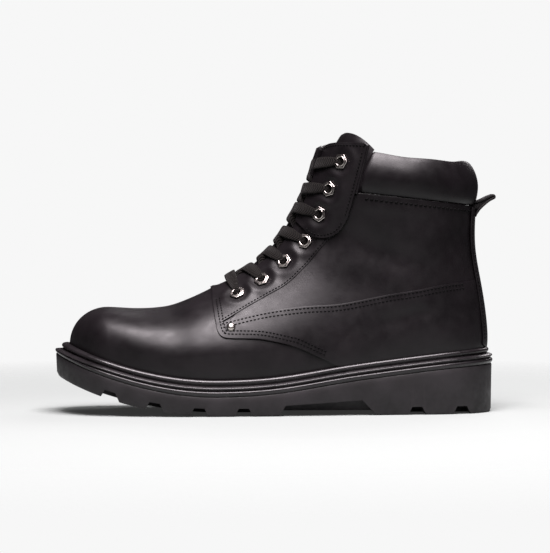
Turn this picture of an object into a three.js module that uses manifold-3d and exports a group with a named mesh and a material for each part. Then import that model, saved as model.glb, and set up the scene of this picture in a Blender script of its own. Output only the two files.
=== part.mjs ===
// Left safety boot, ankle height, with a padded collar and seven pairs of eyelets.
// Millimetres, +Z up. The toe points to -X, the outer (lateral) side faces -Y and z = 0 is the floor.
import * as THREE from 'three';
import Module from 'manifold-3d';

const wasm = await Module();
wasm.setup();

// Driving sizes
const FIT = 0.3;
const WALL = 2.6;
const QUARTER_STEP = 1.2;
const PATCH_LIFT = 1.5;
const PATCH_TOP = 2.9;
const BACKSTAY_TOP = 2.4;
const BACKSTAY_WIDTH = 30;
const INSOLE_THICKNESS = 4;
const INSOLE_EASE = 3;
const TONGUE_DEPTH = 3.7;
const TONGUE_THICKNESS = 5.5;
const LACE_WIDTH = 7.4;
const LACE_THICKNESS = 1.6;
const STRAND_START = 0.2;
const BAR_DROP = 0.1;
const EYELET_HOLE = 3.5;
const EYELET_STANDOFF = 0.35;
const SIDES = { lateral: -1, medial: 1 };

// Sections of the last from the toe to above the top line. Each is a plane across the boot, from a point
// of the base line to a point of the ridge line. Lateral and medial are its half widths, crest is where
// the ridge lies across the boot, level is the share of the height at which it is widest, and crown and
// tuck are the powers of its rounded outline above and below that level.
const LAST_COLUMNS = [
  'ridgeX', 'ridgeZ', 'baseX', 'baseZ', 'lateral', 'medial', 'crest', 'level', 'crown', 'tuck',
];
const LAST_ROWS = [
  [-143.5, 72.8, -143.5, 31.0, 31.0, 33.0, 5.0, 0.40, 2.50, 4.0],
  [-116.0, 72.8, -116.0, 25.5, 40.0, 42.0, 5.0, 0.40, 2.50, 4.0],
  [-95.0, 71.9, -95.0, 19.5, 46.0, 47.0, 4.5, 0.42, 2.25, 4.0],
  [-70.0, 75.2, -70.0, 14.0, 50.0, 48.5, 4.0, 0.42, 1.95, 4.0],
  [-45.0, 86.0, -45.0, 12.5, 51.0, 46.0, 3.0, 0.40, 1.70, 4.0],
  [-22.0, 99.5, -10.0, 13.0, 49.0, 42.0, 2.0, 0.36, 1.60, 4.0],
  [-6.0, 113.0, 35.0, 18.0, 44.5, 38.5, 1.0, 0.34, 1.65, 4.0],
  [3.0, 124.5, 82.0, 26.0, 40.0, 37.0, 0.0, 0.36, 1.80, 4.0],
  [8.5, 133.5, 124.0, 29.0, 38.5, 37.5, 0.0, 0.38, 2.00, 3.0],
  [12.5, 140.5, 143.3, 38.5, 38.0, 37.5, 0.0, 0.42, 2.15, 2.3],
  [15.5, 146.0, 145.0, 62.0, 37.5, 37.0, 0.0, 0.45, 2.20, 2.1],
  [18.5, 151.5, 141.0, 89.0, 38.5, 38.0, 0.0, 0.48, 2.20, 2.1],
  [22.0, 159.5, 136.9, 114.0, 40.0, 39.5, 0.0, 0.49, 2.20, 2.1],
  [26.0, 169.5, 137.0, 139.0, 41.5, 41.0, 0.0, 0.50, 2.20, 2.1],
  [31.0, 182.0, 138.6, 164.0, 43.0, 42.5, 0.0, 0.50, 2.20, 2.1],
  [36.5, 198.0, 139.5, 188.0, 44.0, 43.5, 0.0, 0.50, 2.20, 2.1],
];
const TOE_MIDDLE_Z = 46;
const TOE_POWER = 2.2;
const TOP_SECTION = LAST_ROWS.length - 1;
const HALF_STEPS_TO = 10;
const TOE_SECTIONS = 6;
const POINTS_ROUND = 26;
const POINTS_INSIDE = 20;

// Sole: height of the welt bead over the floor and margin of the sidewall round the upper
const SOLE_COLUMNS = ['x', 'beadTop', 'margin'];
const SOLE_ROWS = [
  [-155, 26.2, 10.0],
  [-100, 25.4, 7.4],
  [-50, 24.7, 5.8],
  [0, 27.0, 5.8],
  [40, 33.2, 6.0],
  [80, 38.5, 5.4],
  [120, 43.0, 5.6],
  [150, 45.2, 6.4],
];
const SPRING_START = -40;
const SPRING_RADIUS = 240;
const SEAT_DEPTH = 2.2;
const SOLE_POINTS_A_SIDE = 26;

// Side of the midsole, from the seat of the upper over the bead and two ribs to the parting line:
// depth under the bead top, share of the margin, extra width
const MIDSOLE_PROFILE = [
  { depth: SEAT_DEPTH, share: 0, extra: 0.35 },
  { depth: 0.4, share: 0, extra: 0.35 },
  { depth: 0.0, share: 0, extra: 1.3 },
  { depth: 0.4, share: 0, extra: 3.0 },
  { depth: 1.6, share: 0, extra: 3.8 },
  { depth: 3.0, share: 0, extra: 3.4 },
  { depth: 3.9, share: 0, extra: 2.7 },
  { depth: 4.7, share: 1, extra: -0.8 },
  { depth: 5.3, share: 1, extra: 0.4 },
  { depth: 6.2, share: 1, extra: 0.4 },
  { depth: 7.3, share: 1, extra: -0.7 },
  { depth: 8.3, share: 1, extra: 1.0 },
  { depth: 9.9, share: 1, extra: 1.0 },
  { depth: 11.2, share: 1, extra: -0.4 },
];
const OUTSOLE_TOP = 11.5;
const TREAD_EDGE = 1.6;

// Lugs: side notches of the forefoot and heel, with their sizes along the sole
const FORE_NOTCHES = [-114.9, -84.6, -54.3, -24.0];
const HEEL_NOTCHES = [95.5, 127.0];
const NOTCH = { bottom: 12.5, top: 7, depth: 5.5, inner: 15 };
const CHANNEL = { inner: 10.5, depth: 4.5 };
const WAIST = { front: 0.4, roofFront: 4.5, roofBack: 57.5, back: 67.3, low: 7.3, high: 10.5, core: 3 };
const WAIST_CORE = { lateral: -34, medial: 29 };
const FAR = 90;

// Lines of the side view, as x and z
const QUARTER_EDGE = [
  [-46, 130], [-45, 84], [-44.7, 76], [-42.9, 63.7], [-39.5, 54.8], [-35, 53.6],
  [-12.3, 52.6], [1, 50.1], [12.9, 46.8], [28.1, 40], [46, 31], [46, -5],
];
const TOP_LINE = [[0, 187], [61.5, 186.3], [53.4, 152], [135, 143], [170, 139]];
const COLLAR_FRONT = [[54.6, 152.7], [62.0, 180.6]];
const COLLAR_SEAM = { x: 53.4, z: 152.7, rise: -9 / 81.6 };
const COLLAR_TOP = { x: 61.3, z: 181, rise: -6.5 / 52 };
const PATCH_OUTLINE = [
  [5, 137], [16.5, 131.5], [19, 126.4], [22, 123.4], [27, 121.6], [32, 121.4], [38, 123.2], [43, 127.2],
  [47.3, 134.2], [52, 151], [55.8, 165.4], [60.6, 184], [59, 186], [42, 187], [36, 184.5], [20, 176],
];
const EYELETS = [
  { x: 43.2, z: 173.7, patch: true },
  { x: 35.2, z: 155.0, patch: true },
  { x: 28.8, z: 137.6, patch: true },
  { x: 19.0, z: 118.9, patch: false },
  { x: 4.6, z: 104.9, patch: false },
  { x: -10.7, z: 92.5, patch: false },
  { x: -27.7, z: 83.2, patch: false },
];
const RIVET = { x: -32.6, z: 60.8 };
const PULL_LOOP = { width: 18, thickness: 4, rootX: 140.4, rootZ: 141.5, tipX: 151.2, tipZ: 149.6 };

// Throat: half of the gap between the eyestays, at sections of the last
const THROAT_ROWS = [
  { section: 4.06, half: 0.8 },
  { section: 4.12, half: 4.5 },
  { section: 4.3, half: 8 },
  { section: 5, half: 11 },
  { section: 7, half: 13 },
  { section: 10, half: 15 },
  { section: 13, half: 17 },
  { section: 15.4, half: 19 },
];

const LEATHER = { color: 0x17161a, roughness: 0.42, metalness: 0 };
const PADDING = { color: 0x151418, roughness: 0.46, metalness: 0 };
const RUBBER = { color: 0x131315, roughness: 0.7, metalness: 0 };
const FOOTBED = { color: 0x2b2a2c, roughness: 0.95, metalness: 0 };
const BRAID = { color: 0x1c1a19, roughness: 0.9, metalness: 0 };
const NICKEL = { color: 0xc4c0bc, roughness: 0.25, metalness: 1 };

// Curves and solving

// Natural cubic spline through one value at each knot
function splineThrough(knots, values) {
  const last = knots.length - 1;
  const bend = knots.map(() => 0);
  const carry = knots.map(() => 0);
  for (let i = 1; i < last; i++) {
    const before = knots[i] - knots[i - 1];
    const after = knots[i + 1] - knots[i];
    const pivot = 2 * (before + after) - before * carry[i - 1];
    const turn = (values[i + 1] - values[i]) / after - (values[i] - values[i - 1]) / before;
    carry[i] = after / pivot;
    bend[i] = (6 * turn - before * bend[i - 1]) / pivot;
  }
  for (let i = last - 1; i > 0; i--) {
    bend[i] -= carry[i] * bend[i + 1];
  }
  return (at) => {
    let i = 0;
    while (i < last - 1 && at > knots[i + 1]) {
      i += 1;
    }
    const span = knots[i + 1] - knots[i];
    const high = (at - knots[i]) / span;
    const low = 1 - high;
    const curve = (low ** 3 - low) * bend[i] + (high ** 3 - high) * bend[i + 1];
    return low * values[i] + high * values[i + 1] + curve * span * span / 6;
  };
}

// One spline for each named column of a table
function tableCurves(columns, rows, knots) {
  return Object.fromEntries(columns.map((name, column) => [
    name, splineThrough(knots, rows.map((row) => row[column])),
  ]));
}

// Place between low and high where a rising function passes zero
function crossing(low, high, rising) {
  let from = low;
  let to = high;
  for (let step = 0; step < 45; step++) {
    const middle = (from + to) / 2;
    if (rising(middle) < 0) {
      from = middle;
    } else {
      to = middle;
    }
  }
  return (from + to) / 2;
}

function stepBetween(low, high, at) {
  return THREE.MathUtils.smoothstep(at, low, high);
}

// The last
const lastCurves = tableCurves(LAST_COLUMNS, LAST_ROWS, LAST_ROWS.map((row, index) => index));

// Section at place t along the last: a whole number is a row of the table, and 0 to 1 rounds off the toe
function section(t) {
  const toe = t < 1 ? Math.cos(Math.max(t, 0) * Math.PI / 2) : 0;
  const knot = t < 1 ? 1 - toe : t;
  const row = Object.fromEntries(LAST_COLUMNS.map((name) => [name, lastCurves[name](knot)]));
  const full = (1 - toe ** TOE_POWER) ** (1 / TOE_POWER);
  row.ridgeZ = TOE_MIDDLE_Z + (row.ridgeZ - TOE_MIDDLE_Z) * full;
  row.baseZ = TOE_MIDDLE_Z + (row.baseZ - TOE_MIDDLE_Z) * full;
  row.lateral = (row.lateral + row.crest) * full - row.crest;
  row.medial = (row.medial - row.crest) * full + row.crest;
  return row;
}

// Point of the last's skin: phi is 0 on the ridge, -90 degrees lateral, 90 degrees medial
function skinPoint(t, phi) {
  const row = section(t);
  const turn = Math.atan2(Math.sin(phi), Math.cos(phi));
  const up = Math.cos(turn);
  const aside = Math.abs(Math.sin(turn));
  const power = up >= 0 ? row.crown : row.tuck;
  const reach = (Math.abs(up) ** power + aside ** power) ** (-1 / power);
  const half = up >= 0 ? 1 - row.level : row.level;
  const share = row.level + up * reach * half;
  const width = turn < 0 ? -row.lateral - row.crest : row.medial - row.crest;
  return new THREE.Vector3(
    row.baseX + (row.ridgeX - row.baseX) * share,
    row.crest + aside * reach * width,
    row.baseZ + (row.ridgeZ - row.baseZ) * share,
  );
}

function skinNormal(t, phi) {
  if (t < 0.01) {
    return new THREE.Vector3(-1, 0, 0);
  }
  const step = 0.004;
  const across = skinPoint(t, phi + step).sub(skinPoint(t, phi - step));
  const along = skinPoint(t + step, phi).sub(skinPoint(t - step, phi));
  return along.cross(across).normalize();
}

// Point at a distance outside the skin
function lastPoint(t, phi, out) {
  return skinPoint(t, phi).addScaledVector(skinNormal(t, phi), out);
}

// Place on the skin, as t and phi, of a point seen from the side
function skinPlace(x, z, side) {
  const t = crossing(0.05, TOP_SECTION + 1, (at) => {
    const row = section(at);
    return (row.ridgeX - row.baseX) * (z - row.baseZ) - (row.ridgeZ - row.baseZ) * (x - row.baseX);
  });
  const row = section(t);
  const runX = row.ridgeX - row.baseX;
  const runZ = row.ridgeZ - row.baseZ;
  const share = ((x - row.baseX) * runX + (z - row.baseZ) * runZ) / (runX ** 2 + runZ ** 2);
  const over = share >= row.level;
  const up = Math.min(over ? (share - row.level) / (1 - row.level) : (row.level - share) / row.level, 1);
  const power = over ? row.crown : row.tuck;
  const phi = Math.atan2((1 - up ** power) ** (1 / power), over ? up : -up);
  return { t, phi: phi * side };
}

// The same for a point that is seen on a surface outside the skin
function sidePlace(x, z, side, out) {
  let place = skinPlace(x, z, side);
  for (let round = 0; round < 4; round++) {
    const normal = skinNormal(place.t, place.phi);
    place = skinPlace(x - normal.x * out, z - normal.z * out, side);
  }
  return place;
}

// Place on a section at a distance across the boot from its ridge, on the upper half
function phiAcross(t, across) {
  const crest = section(t).crest;
  const side = Math.sign(across) || 1;
  return side * crossing(0, Math.PI / 2, (phi) => (
    Math.abs(skinPoint(t, phi * side).y - crest) - Math.abs(across)
  ));
}

// Solids

// Closed body from a list of points and triangles, turned so that its faces point out
function bodyFrom(points, triangles) {
  const found = new Map();
  const positions = [];
  const index = points.map((point) => {
    const key = [point.x, point.y, point.z].map((value) => Math.round(value * 1e4)).join(' ');
    if (!found.has(key)) {
      found.set(key, found.size);
      positions.push(point.x, point.y, point.z);
    }
    return found.get(key);
  });
  const kept = triangles.map((corners) => corners.map((corner) => index[corner]))
    .filter(([a, b, c]) => a !== b && b !== c && c !== a);
  const corner = (at) => new THREE.Vector3().fromArray(positions, at * 3);
  const volume = kept.reduce((sum, [a, b, c]) => sum + corner(a).dot(corner(b).cross(corner(c))), 0);
  const facing = volume < 0 ? kept.map(([a, b, c]) => [a, c, b]) : kept;
  return new wasm.Manifold(new wasm.Mesh({
    numProp: 3,
    vertProperties: new Float32Array(positions),
    triVerts: new Uint32Array(facing.flat()),
  }));
}

// Body through rings of equal length. The ends are closed by rungs between the two halves of a ring, so
// each ring starts and has its middle on the line that divides those halves.
function loft(rings) {
  const size = rings[0].length;
  const triangles = [];
  const quad = (a, b, c, d) => triangles.push([a, b, c], [a, c, d]);
  for (let ring = 0; ring + 1 < rings.length; ring++) {
    for (let i = 0; i < size; i++) {
      const next = (i + 1) % size;
      const low = ring * size;
      const high = low + size;
      quad(low + i, low + next, high + next, high + i);
    }
  }
  const end = (rings.length - 1) * size;
  for (let i = 0; i < size / 2; i++) {
    const mirror = (size - i) % size;
    quad(i, mirror, size - i - 1, i + 1);
    quad(end + i, end + i + 1, end + size - i - 1, end + mirror);
  }
  return bodyFrom(rings.flat(), triangles);
}

// Body of a three.js geometry, with its shared corners joined
function bodyOf(geometry) {
  const position = geometry.getAttribute('position');
  const points = Array.from({ length: position.count }, (unused, i) => (
    new THREE.Vector3().fromBufferAttribute(position, i)
  ));
  const order = geometry.index ? Array.from(geometry.index.array) : points.map((unused, i) => i);
  const triangles = [];
  for (let i = 0; i < order.length; i += 3) {
    triangles.push(order.slice(i, i + 3));
  }
  return bodyFrom(points, triangles);
}

// Prism of a side-view outline between two places across the boot
function sidePrism(outline, fromY = -FAR, toY = FAR) {
  const shape = new THREE.Shape(outline.map(([x, z]) => new THREE.Vector2(x, z)));
  const geometry = new THREE.ExtrudeGeometry(shape, { depth: toY - fromY, bevelEnabled: false });
  geometry.rotateX(Math.PI / 2);
  geometry.translate(0, toY, 0);
  return geometry;
}

function meshOf(name, body, finish) {
  const { vertProperties, triVerts } = body.getMesh();
  const geometry = new THREE.BufferGeometry();
  geometry.setAttribute('position', new THREE.BufferAttribute(new Float32Array(vertProperties), 3));
  geometry.setIndex(new THREE.BufferAttribute(new Uint32Array(triVerts), 1));
  geometry.computeVertexNormals();
  const mesh = new THREE.Mesh(geometry, new THREE.MeshStandardMaterial(finish));
  mesh.name = name;
  return mesh;
}

// Whole form at a distance outside the last, or inside it with fewer points
function lastForm(out) {
  const steps = out < 0 ? 1 : 2;
  const round = out < 0 ? POINTS_INSIDE : POINTS_ROUND;
  const toe = Array.from({ length: TOE_SECTIONS }, (unused, i) => i / TOE_SECTIONS);
  const foot = Array.from({ length: (HALF_STEPS_TO - 1) * steps }, (unused, i) => 1 + i / steps);
  const ankle = Array.from({ length: TOP_SECTION - HALF_STEPS_TO + 1 }, (unused, i) => HALF_STEPS_TO + i);
  return loft([...toe, ...foot, ...ankle].map((t) => Array.from({ length: round }, (unused, i) => (
    lastPoint(t, i / round * 2 * Math.PI, out)
  ))));
}

// Sole lines
const soleCurves = tableCurves(SOLE_COLUMNS, SOLE_ROWS, SOLE_ROWS.map((row) => row[0]));
const toeSpring = (x) => Math.max(0, SPRING_START - x) ** 2 / (2 * SPRING_RADIUS);
const underBead = (depth) => (x) => soleCurves.beadTop(x) - depth;
const seatHeight = (x) => underBead(SEAT_DEPTH)(x) + toeSpring(x);

// Points at equal steps along a fine line
function evenPoints(line, count) {
  const lengths = [0];
  for (let i = 1; i < line.length; i++) {
    lengths.push(lengths[i - 1] + line[i].distanceTo(line[i - 1]));
  }
  const step = lengths[line.length - 1] / count;
  return Array.from({ length: count + 1 }, (unused, i) => {
    const place = Math.min(lengths.findIndex((length) => length >= i * step - 1e-6), line.length - 1);
    const before = Math.max(place - 1, 0);
    const span = lengths[place] - lengths[before] || 1;
    return line[before].clone().lerp(line[place], (i * step - lengths[before]) / span);
  });
}

// Feather line, where the last meets the seat of the sole, from the toe round the lateral side
function featherLine() {
  const overSeat = (point) => point.z - seatHeight(point.x);
  const front = crossing(0, 0.9, (t) => overSeat(skinPoint(t, 0)));
  const back = crossing(8, 11, (t) => overSeat(skinPoint(t, Math.PI)));
  const fineSteps = 300;
  const half = (side) => evenPoints(Array.from({ length: fineSteps + 1 }, (unused, i) => {
    const t = front + (back - front) * i / fineSteps;
    const phi = crossing(0, Math.PI, (at) => -overSeat(skinPoint(t, at * side)));
    return skinPoint(t, phi * side).setZ(0);
  }), SOLE_POINTS_A_SIDE);
  return [...half(SIDES.lateral).slice(0, -1), ...half(SIDES.medial).slice(1).reverse()];
}

const feather = featherLine();
const featherNormals = feather.map((point, i) => {
  const run = feather[(i + 1) % feather.length].clone().sub(feather.at(i - 1));
  return new THREE.Vector3(run.y, -run.x, 0).normalize();
});

// Ring round the sole at a height over the sprung floor, a share of the margin plus extra outside the feather
function soleRing(height, share, extra) {
  return feather.map((point, i) => {
    const reach = share * soleCurves.margin(point.x) + extra;
    const moved = point.clone().addScaledVector(featherNormals[i], reach);
    return moved.setZ(height(moved.x) + toeSpring(moved.x));
  });
}

function soleSlab(top, bottom, extra) {
  return loft([soleRing(underBead(top), 0, extra), soleRing(underBead(bottom), 0, extra)]);
}

function springUp(geometry) {
  const position = geometry.getAttribute('position');
  for (let i = 0; i < position.count; i++) {
    position.setZ(i, position.getZ(i) + toeSpring(position.getX(i)));
  }
  return bodyOf(geometry);
}

// Sole pieces
function midsole() {
  return loft(MIDSOLE_PROFILE.map((row) => soleRing(underBead(row.depth), row.share, row.extra)));
}

function notch(x, fromY, toY) {
  const { bottom, top, depth } = NOTCH;
  return springUp(sidePrism([
    [x - bottom / 2, -4], [x - bottom / 2, 0], [x - top / 2, depth],
    [x + top / 2, depth], [x + bottom / 2, 0], [x + bottom / 2, -4],
  ], fromY, toY));
}

// Groove along the sole between two places across it
function channel(fromX, toX, fromY, toY) {
  const steps = Math.ceil((toX - fromX) / 12);
  return loft(Array.from({ length: steps + 1 }, (unused, i) => {
    const x = fromX + (toX - fromX) * i / steps;
    const z = toeSpring(x);
    return [[fromY, -4], [toY, -4], [toY, CHANNEL.depth], [fromY, CHANNEL.depth]]
      .map(([y, height]) => new THREE.Vector3(x, y, z + height));
  }));
}

function waistCut(lowRoof, highRoof, fromY, toY) {
  const { front, roofFront, roofBack, back, low, high } = WAIST;
  const lowX = front + (roofFront - front) * lowRoof / low;
  const highX = back + (roofBack - back) * highRoof / high;
  return bodyOf(sidePrism([
    [front, -4], [front, 0], [lowX, lowRoof], [highX, highRoof], [back, 0], [back, -4],
  ], fromY, toY));
}

function outsole() {
  let body = loft([
    soleRing(underBead(OUTSOLE_TOP), 1, -0.4),
    soleRing(underBead(OUTSOLE_TOP + 0.9), 1, 0),
    soleRing(() => 2, 1, -0.5),
    soleRing(() => 0, 1, -TREAD_EDGE),
  ]);
  for (const x of [...FORE_NOTCHES, ...HEEL_NOTCHES]) {
    body = body.subtract(notch(x, -FAR, -NOTCH.inner)).subtract(notch(x, NOTCH.inner, FAR));
  }
  for (let i = 0; i + 1 < FORE_NOTCHES.length; i++) {
    body = body.subtract(notch((FORE_NOTCHES[i] + FORE_NOTCHES[i + 1]) / 2, -CHANNEL.inner, CHANNEL.inner));
  }
  body = body.subtract(notch((HEEL_NOTCHES[0] + HEEL_NOTCHES[1]) / 2, -CHANNEL.inner, CHANNEL.inner));
  for (const side of Object.values(SIDES)) {
    const [fromY, toY] = [side * CHANNEL.inner, side * NOTCH.inner].sort((a, b) => a - b);
    body = body.subtract(channel(-128, -6, fromY, toY)).subtract(channel(76, 140, fromY, toY));
  }
  return body.subtract(waistCut(WAIST.core, WAIST.core, -FAR, FAR))
    .subtract(waistCut(WAIST.low, WAIST.high, -FAR, WAIST_CORE.lateral))
    .subtract(waistCut(WAIST.low, WAIST.high, WAIST_CORE.medial, FAR));
}

function insole() {
  const bottom = SEAT_DEPTH - FIT;
  return soleSlab(bottom - INSOLE_THICKNESS, bottom, -WALL - INSOLE_EASE);
}

// What the upper keeps clear of: the seat and the bead that stands round its foot
function soleRoom() {
  const bead = soleSlab(-FIT, SEAT_DEPTH, 14).subtract(soleSlab(-4, SEAT_DEPTH + 2, 0.05));
  return soleSlab(SEAT_DEPTH - FIT, 40, 14).add(bead);
}

// Throat between the eyestays, cut along the ridge
function throat() {
  const above = 12;
  const under = 26;
  return loft(THROAT_ROWS.map((row) => {
    const { ridgeX, ridgeZ, baseX, baseZ, crest } = section(row.section);
    const run = new THREE.Vector3(ridgeX - baseX, 0, ridgeZ - baseZ).normalize();
    const ridge = new THREE.Vector3(ridgeX, crest, ridgeZ);
    return [[-1, above], [1, above], [1, -under], [-1, -under]].map(([side, along]) => (
      ridge.clone().addScaledVector(run, along).setY(crest + side * row.half)
    ));
  }));
}

const throatHalf = splineThrough(THROAT_ROWS.map((row) => row.section), THROAT_ROWS.map((row) => row.half));

// Eyelets and rivets
function standOn(geometry, place, out) {
  const normal = skinNormal(place.t, place.phi);
  const turn = new THREE.Quaternion().setFromUnitVectors(new THREE.Vector3(0, 1, 0), normal);
  geometry.applyQuaternion(turn);
  const point = lastPoint(place.t, place.phi, out);
  geometry.translate(point.x, point.y, point.z);
  return bodyOf(geometry);
}

const eyeletOut = (eyelet) => (eyelet.patch ? PATCH_TOP : QUARTER_STEP);
const eyeletPlace = (eyelet, side) => sidePlace(eyelet.x, eyelet.z, side, eyeletOut(eyelet));

function eyeletHole(eyelet, side) {
  const round = new THREE.CylinderGeometry(EYELET_HOLE, EYELET_HOLE, 16, 6);
  return standOn(round, eyeletPlace(eyelet, side), eyeletOut(eyelet));
}

function eyeletRing(eyelet, side) {
  const profile = [
    [2.3, -2.4], [2.9, -2.4], [2.9, EYELET_STANDOFF], [5.4, EYELET_STANDOFF], [4.4, 1.5], [2.3, 1.2],
    [2.3, -2.4],
  ].map(([radius, height]) => new THREE.Vector2(radius, height));
  return standOn(new THREE.LatheGeometry(profile, 6), eyeletPlace(eyelet, side), eyeletOut(eyelet));
}

function rivet(side) {
  const profile = [[0, FIT], [3, FIT], [2.6, 1.3], [1.4, 1.9], [0, 2.1]]
    .map(([radius, height]) => new THREE.Vector2(radius, height));
  const place = sidePlace(RIVET.x, RIVET.z, side, QUARTER_STEP);
  return standOn(new THREE.LatheGeometry(profile, 8), place, QUARTER_STEP);
}

function punchEyelets(body, wanted, sides) {
  let punched = body;
  for (const eyelet of EYELETS.filter(wanted)) {
    for (const side of sides) {
      punched = punched.subtract(eyeletHole(eyelet, side));
    }
  }
  return punched;
}

// Upper and its overlays
const SKY = 260;
const aboveTopLine = bodyOf(sidePrism([[-60, 187], ...TOP_LINE, [200, 139], [200, SKY], [-60, SKY]]));
const quarterSide = bodyOf(sidePrism([...QUARTER_EDGE, [200, -5], [200, SKY], [-46, SKY]]));
const throatCut = throat();
const soleCut = soleRoom();

function upper() {
  const raised = lastForm(QUARTER_STEP).intersect(quarterSide);
  const shell = lastForm(0).add(raised).subtract(lastForm(-WALL));
  const open = shell.subtract(soleCut).subtract(aboveTopLine).subtract(throatCut);
  return punchEyelets(open, () => true, Object.values(SIDES));
}

function eyeletPatch(side) {
  const [fromY, toY] = side < 0 ? [-FAR, -2] : [2, FAR];
  const skin = lastForm(PATCH_TOP).subtract(lastForm(PATCH_LIFT));
  const cut = skin.intersect(bodyOf(sidePrism(PATCH_OUTLINE, fromY, toY))).subtract(throatCut);
  return punchEyelets(cut, (eyelet) => eyelet.patch, [side]);
}

function backstay() {
  const skin = lastForm(BACKSTAY_TOP).subtract(lastForm(PATCH_LIFT));
  const half = BACKSTAY_WIDTH / 2;
  const strip = bodyOf(sidePrism([[110, 46.5], [180, 46.5], [180, 137], [110, 144]], -half, half));
  return skin.intersect(strip);
}

// Padded collar: a cushion swept round the heel from patch to patch, between its seam and its top line
const COLLAR_PROFILE = [
  { rise: 0, out: -0.6, inside: 0 },
  { rise: 0.05, out: 0.9, inside: 0 },
  { rise: 0.2, out: 2.2, inside: 0 },
  { rise: 0.5, out: 2.8, inside: 0 },
  { rise: 0.8, out: 2.1, inside: 0 },
  { rise: 0.95, out: 0.2, inside: 0 },
  { rise: 1, out: -2.0, inside: 0 },
  { rise: 0.95, out: -2.8, inside: 2.0 },
  { rise: 0.8, out: -3.0, inside: 3.4 },
  { rise: 0.5, out: -3.0, inside: 4.0 },
  { rise: 0.2, out: -3.0, inside: 3.2 },
  { rise: 0.05, out: -2.2, inside: 1.0 },
];

const seamHeight = (x) => COLLAR_SEAM.z + (x - COLLAR_SEAM.x) * COLLAR_SEAM.rise;

const collarTop = (x) => COLLAR_TOP.z + (x - COLLAR_TOP.x) * COLLAR_TOP.rise;

function collarPoint(round, row) {
  const fronts = Object.values(SIDES).map((side) => {
    const places = COLLAR_FRONT.map(([x, z]) => sidePlace(x, z, side, 0).phi);
    return THREE.MathUtils.lerp(places[0], places[1], row.rise);
  });
  const start = -fronts[0];
  const finish = 2 * Math.PI - fronts[1];
  const phi = -(start + (finish - start) * round);
  const t = crossing(9, TOP_SECTION + 1, (at) => {
    const point = skinPoint(at, phi);
    return point.z - THREE.MathUtils.lerp(seamHeight(point.x), collarTop(point.x), row.rise);
  });
  const taper = stepBetween(0, 0.16, round) * stepBetween(0, 0.16, 1 - round);
  return lastPoint(t, phi, row.out - row.inside * taper);
}

function collar() {
  const stations = 20;
  return loft(Array.from({ length: stations + 1 }, (unused, i) => (
    COLLAR_PROFILE.map((row) => collarPoint(i / stations, row))
  )));
}

function pullLoop() {
  const { width, thickness, rootX, rootZ, tipX, tipZ } = PULL_LOOP;
  const half = thickness / 2;
  const lean = Math.atan2(tipZ - rootZ, tipX - rootX);
  const side = [Math.sin(lean) * half, -Math.cos(lean) * half];
  const round = Array.from({ length: 5 }, (unused, i) => lean - Math.PI / 2 + Math.PI * i / 4)
    .map((angle) => [tipX + Math.cos(angle) * half, tipZ + Math.sin(angle) * half]);
  const under = [[rootX, rootZ + side[1]], [rootX + side[0], rootZ + side[1]]];
  const over = [rootX, rootZ + thickness * 0.75];
  return bodyOf(sidePrism([...under, ...round, over], -width / 2, width / 2));
}

// Tongue: a pad under the throat, rounded at its top and thin at its edges
function tongue() {
  const stations = 15;
  const columns = 8;
  const firstSection = 4.15;
  const lastSection = 15.0;
  const point = (along, share, thick) => {
    const end = lastSection - 0.7 * Math.abs(share) ** 3;
    const t = firstSection + (end - firstSection) * along;
    const spread = THREE.MathUtils.degToRad(36 + 30 * along ** 2);
    const sunk = TONGUE_DEPTH + 6 * stepBetween(12.5, 15, t);
    const pad = 1 + (TONGUE_THICKNESS - 1) * (1 - Math.abs(share) ** 3);
    return lastPoint(t, share * spread, -sunk - thick * pad);
  };
  const shares = Array.from({ length: columns + 1 }, (unused, i) => -1 + 2 * i / columns);
  return loft(Array.from({ length: stations + 1 }, (unused, i) => [
    ...shares.map((share) => point(i / stations, share, 0)),
    ...shares.toReversed().map((share) => point(i / stations, share, 1)),
  ]));
}

// Flat lace through places on the last, each with its height outside the skin
function laceStrand(stops) {
  const points = stops.map((stop) => lastPoint(stop.t, stop.phi, stop.out));
  return loft(points.map((point, i) => {
    const before = points[Math.max(i - 1, 0)];
    const after = points[Math.min(i + 1, points.length - 1)];
    const normal = skinNormal(stops[i].t, stops[i].phi);
    const wide = after.clone().sub(before).cross(normal).normalize();
    const lift = wide.clone().cross(after.clone().sub(before)).normalize();
    return [[-1, -1], [1, -1], [1, 1], [-1, 1]].map(([across, up]) => point.clone()
      .addScaledVector(wide, across * LACE_WIDTH / 2)
      .addScaledVector(lift, up * LACE_THICKNESS / 2));
  }));
}

// Distance across the boot from the ridge to the end of a strand beside an eyelet
function strandEnd(eyelet, side) {
  const place = eyeletPlace(eyelet, side);
  const across = skinPoint(place.t, place.phi).y - section(place.t).crest;
  return { t: place.t, across: across - side * 5.6, out: eyeletOut(eyelet) + EYELET_STANDOFF + 1.2 };
}

function crossingStrand(lower, upperEyelet, side) {
  const end = strandEnd(upperEyelet, side);
  const lowerT = eyeletPlace(lower, -side).t;
  const startT = lowerT + (end.t - lowerT) * STRAND_START;
  const gap = throatHalf(end.t);
  const start = -side * (throatHalf(startT) - 3);
  const stops = [
    { across: start, out: -1.2 },
    { across: start * 0.55, out: 1.3 },
    { across: side * gap * 0.45, out: 1.5 },
    { across: side * (gap - 2), out: end.out },
    { across: (end.across + side * gap) / 2, out: end.out },
    { across: end.across, out: end.out },
  ];
  return laceStrand(stops.map((stop) => {
    const share = (stop.across - start) / (end.across - start);
    const t = startT + (end.t - startT) * share;
    return { t, phi: phiAcross(t, stop.across), out: stop.out };
  }));
}

function laceBar(eyelet) {
  const left = strandEnd(eyelet, SIDES.lateral);
  const right = strandEnd(eyelet, SIDES.medial);
  const steps = 8;
  return laceStrand(Array.from({ length: steps + 1 }, (unused, i) => {
    const share = i / steps;
    const t = left.t + (right.t - left.t) * share - BAR_DROP;
    return { t, phi: phiAcross(t, left.across + (right.across - left.across) * share), out: left.out };
  }));
}

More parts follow.
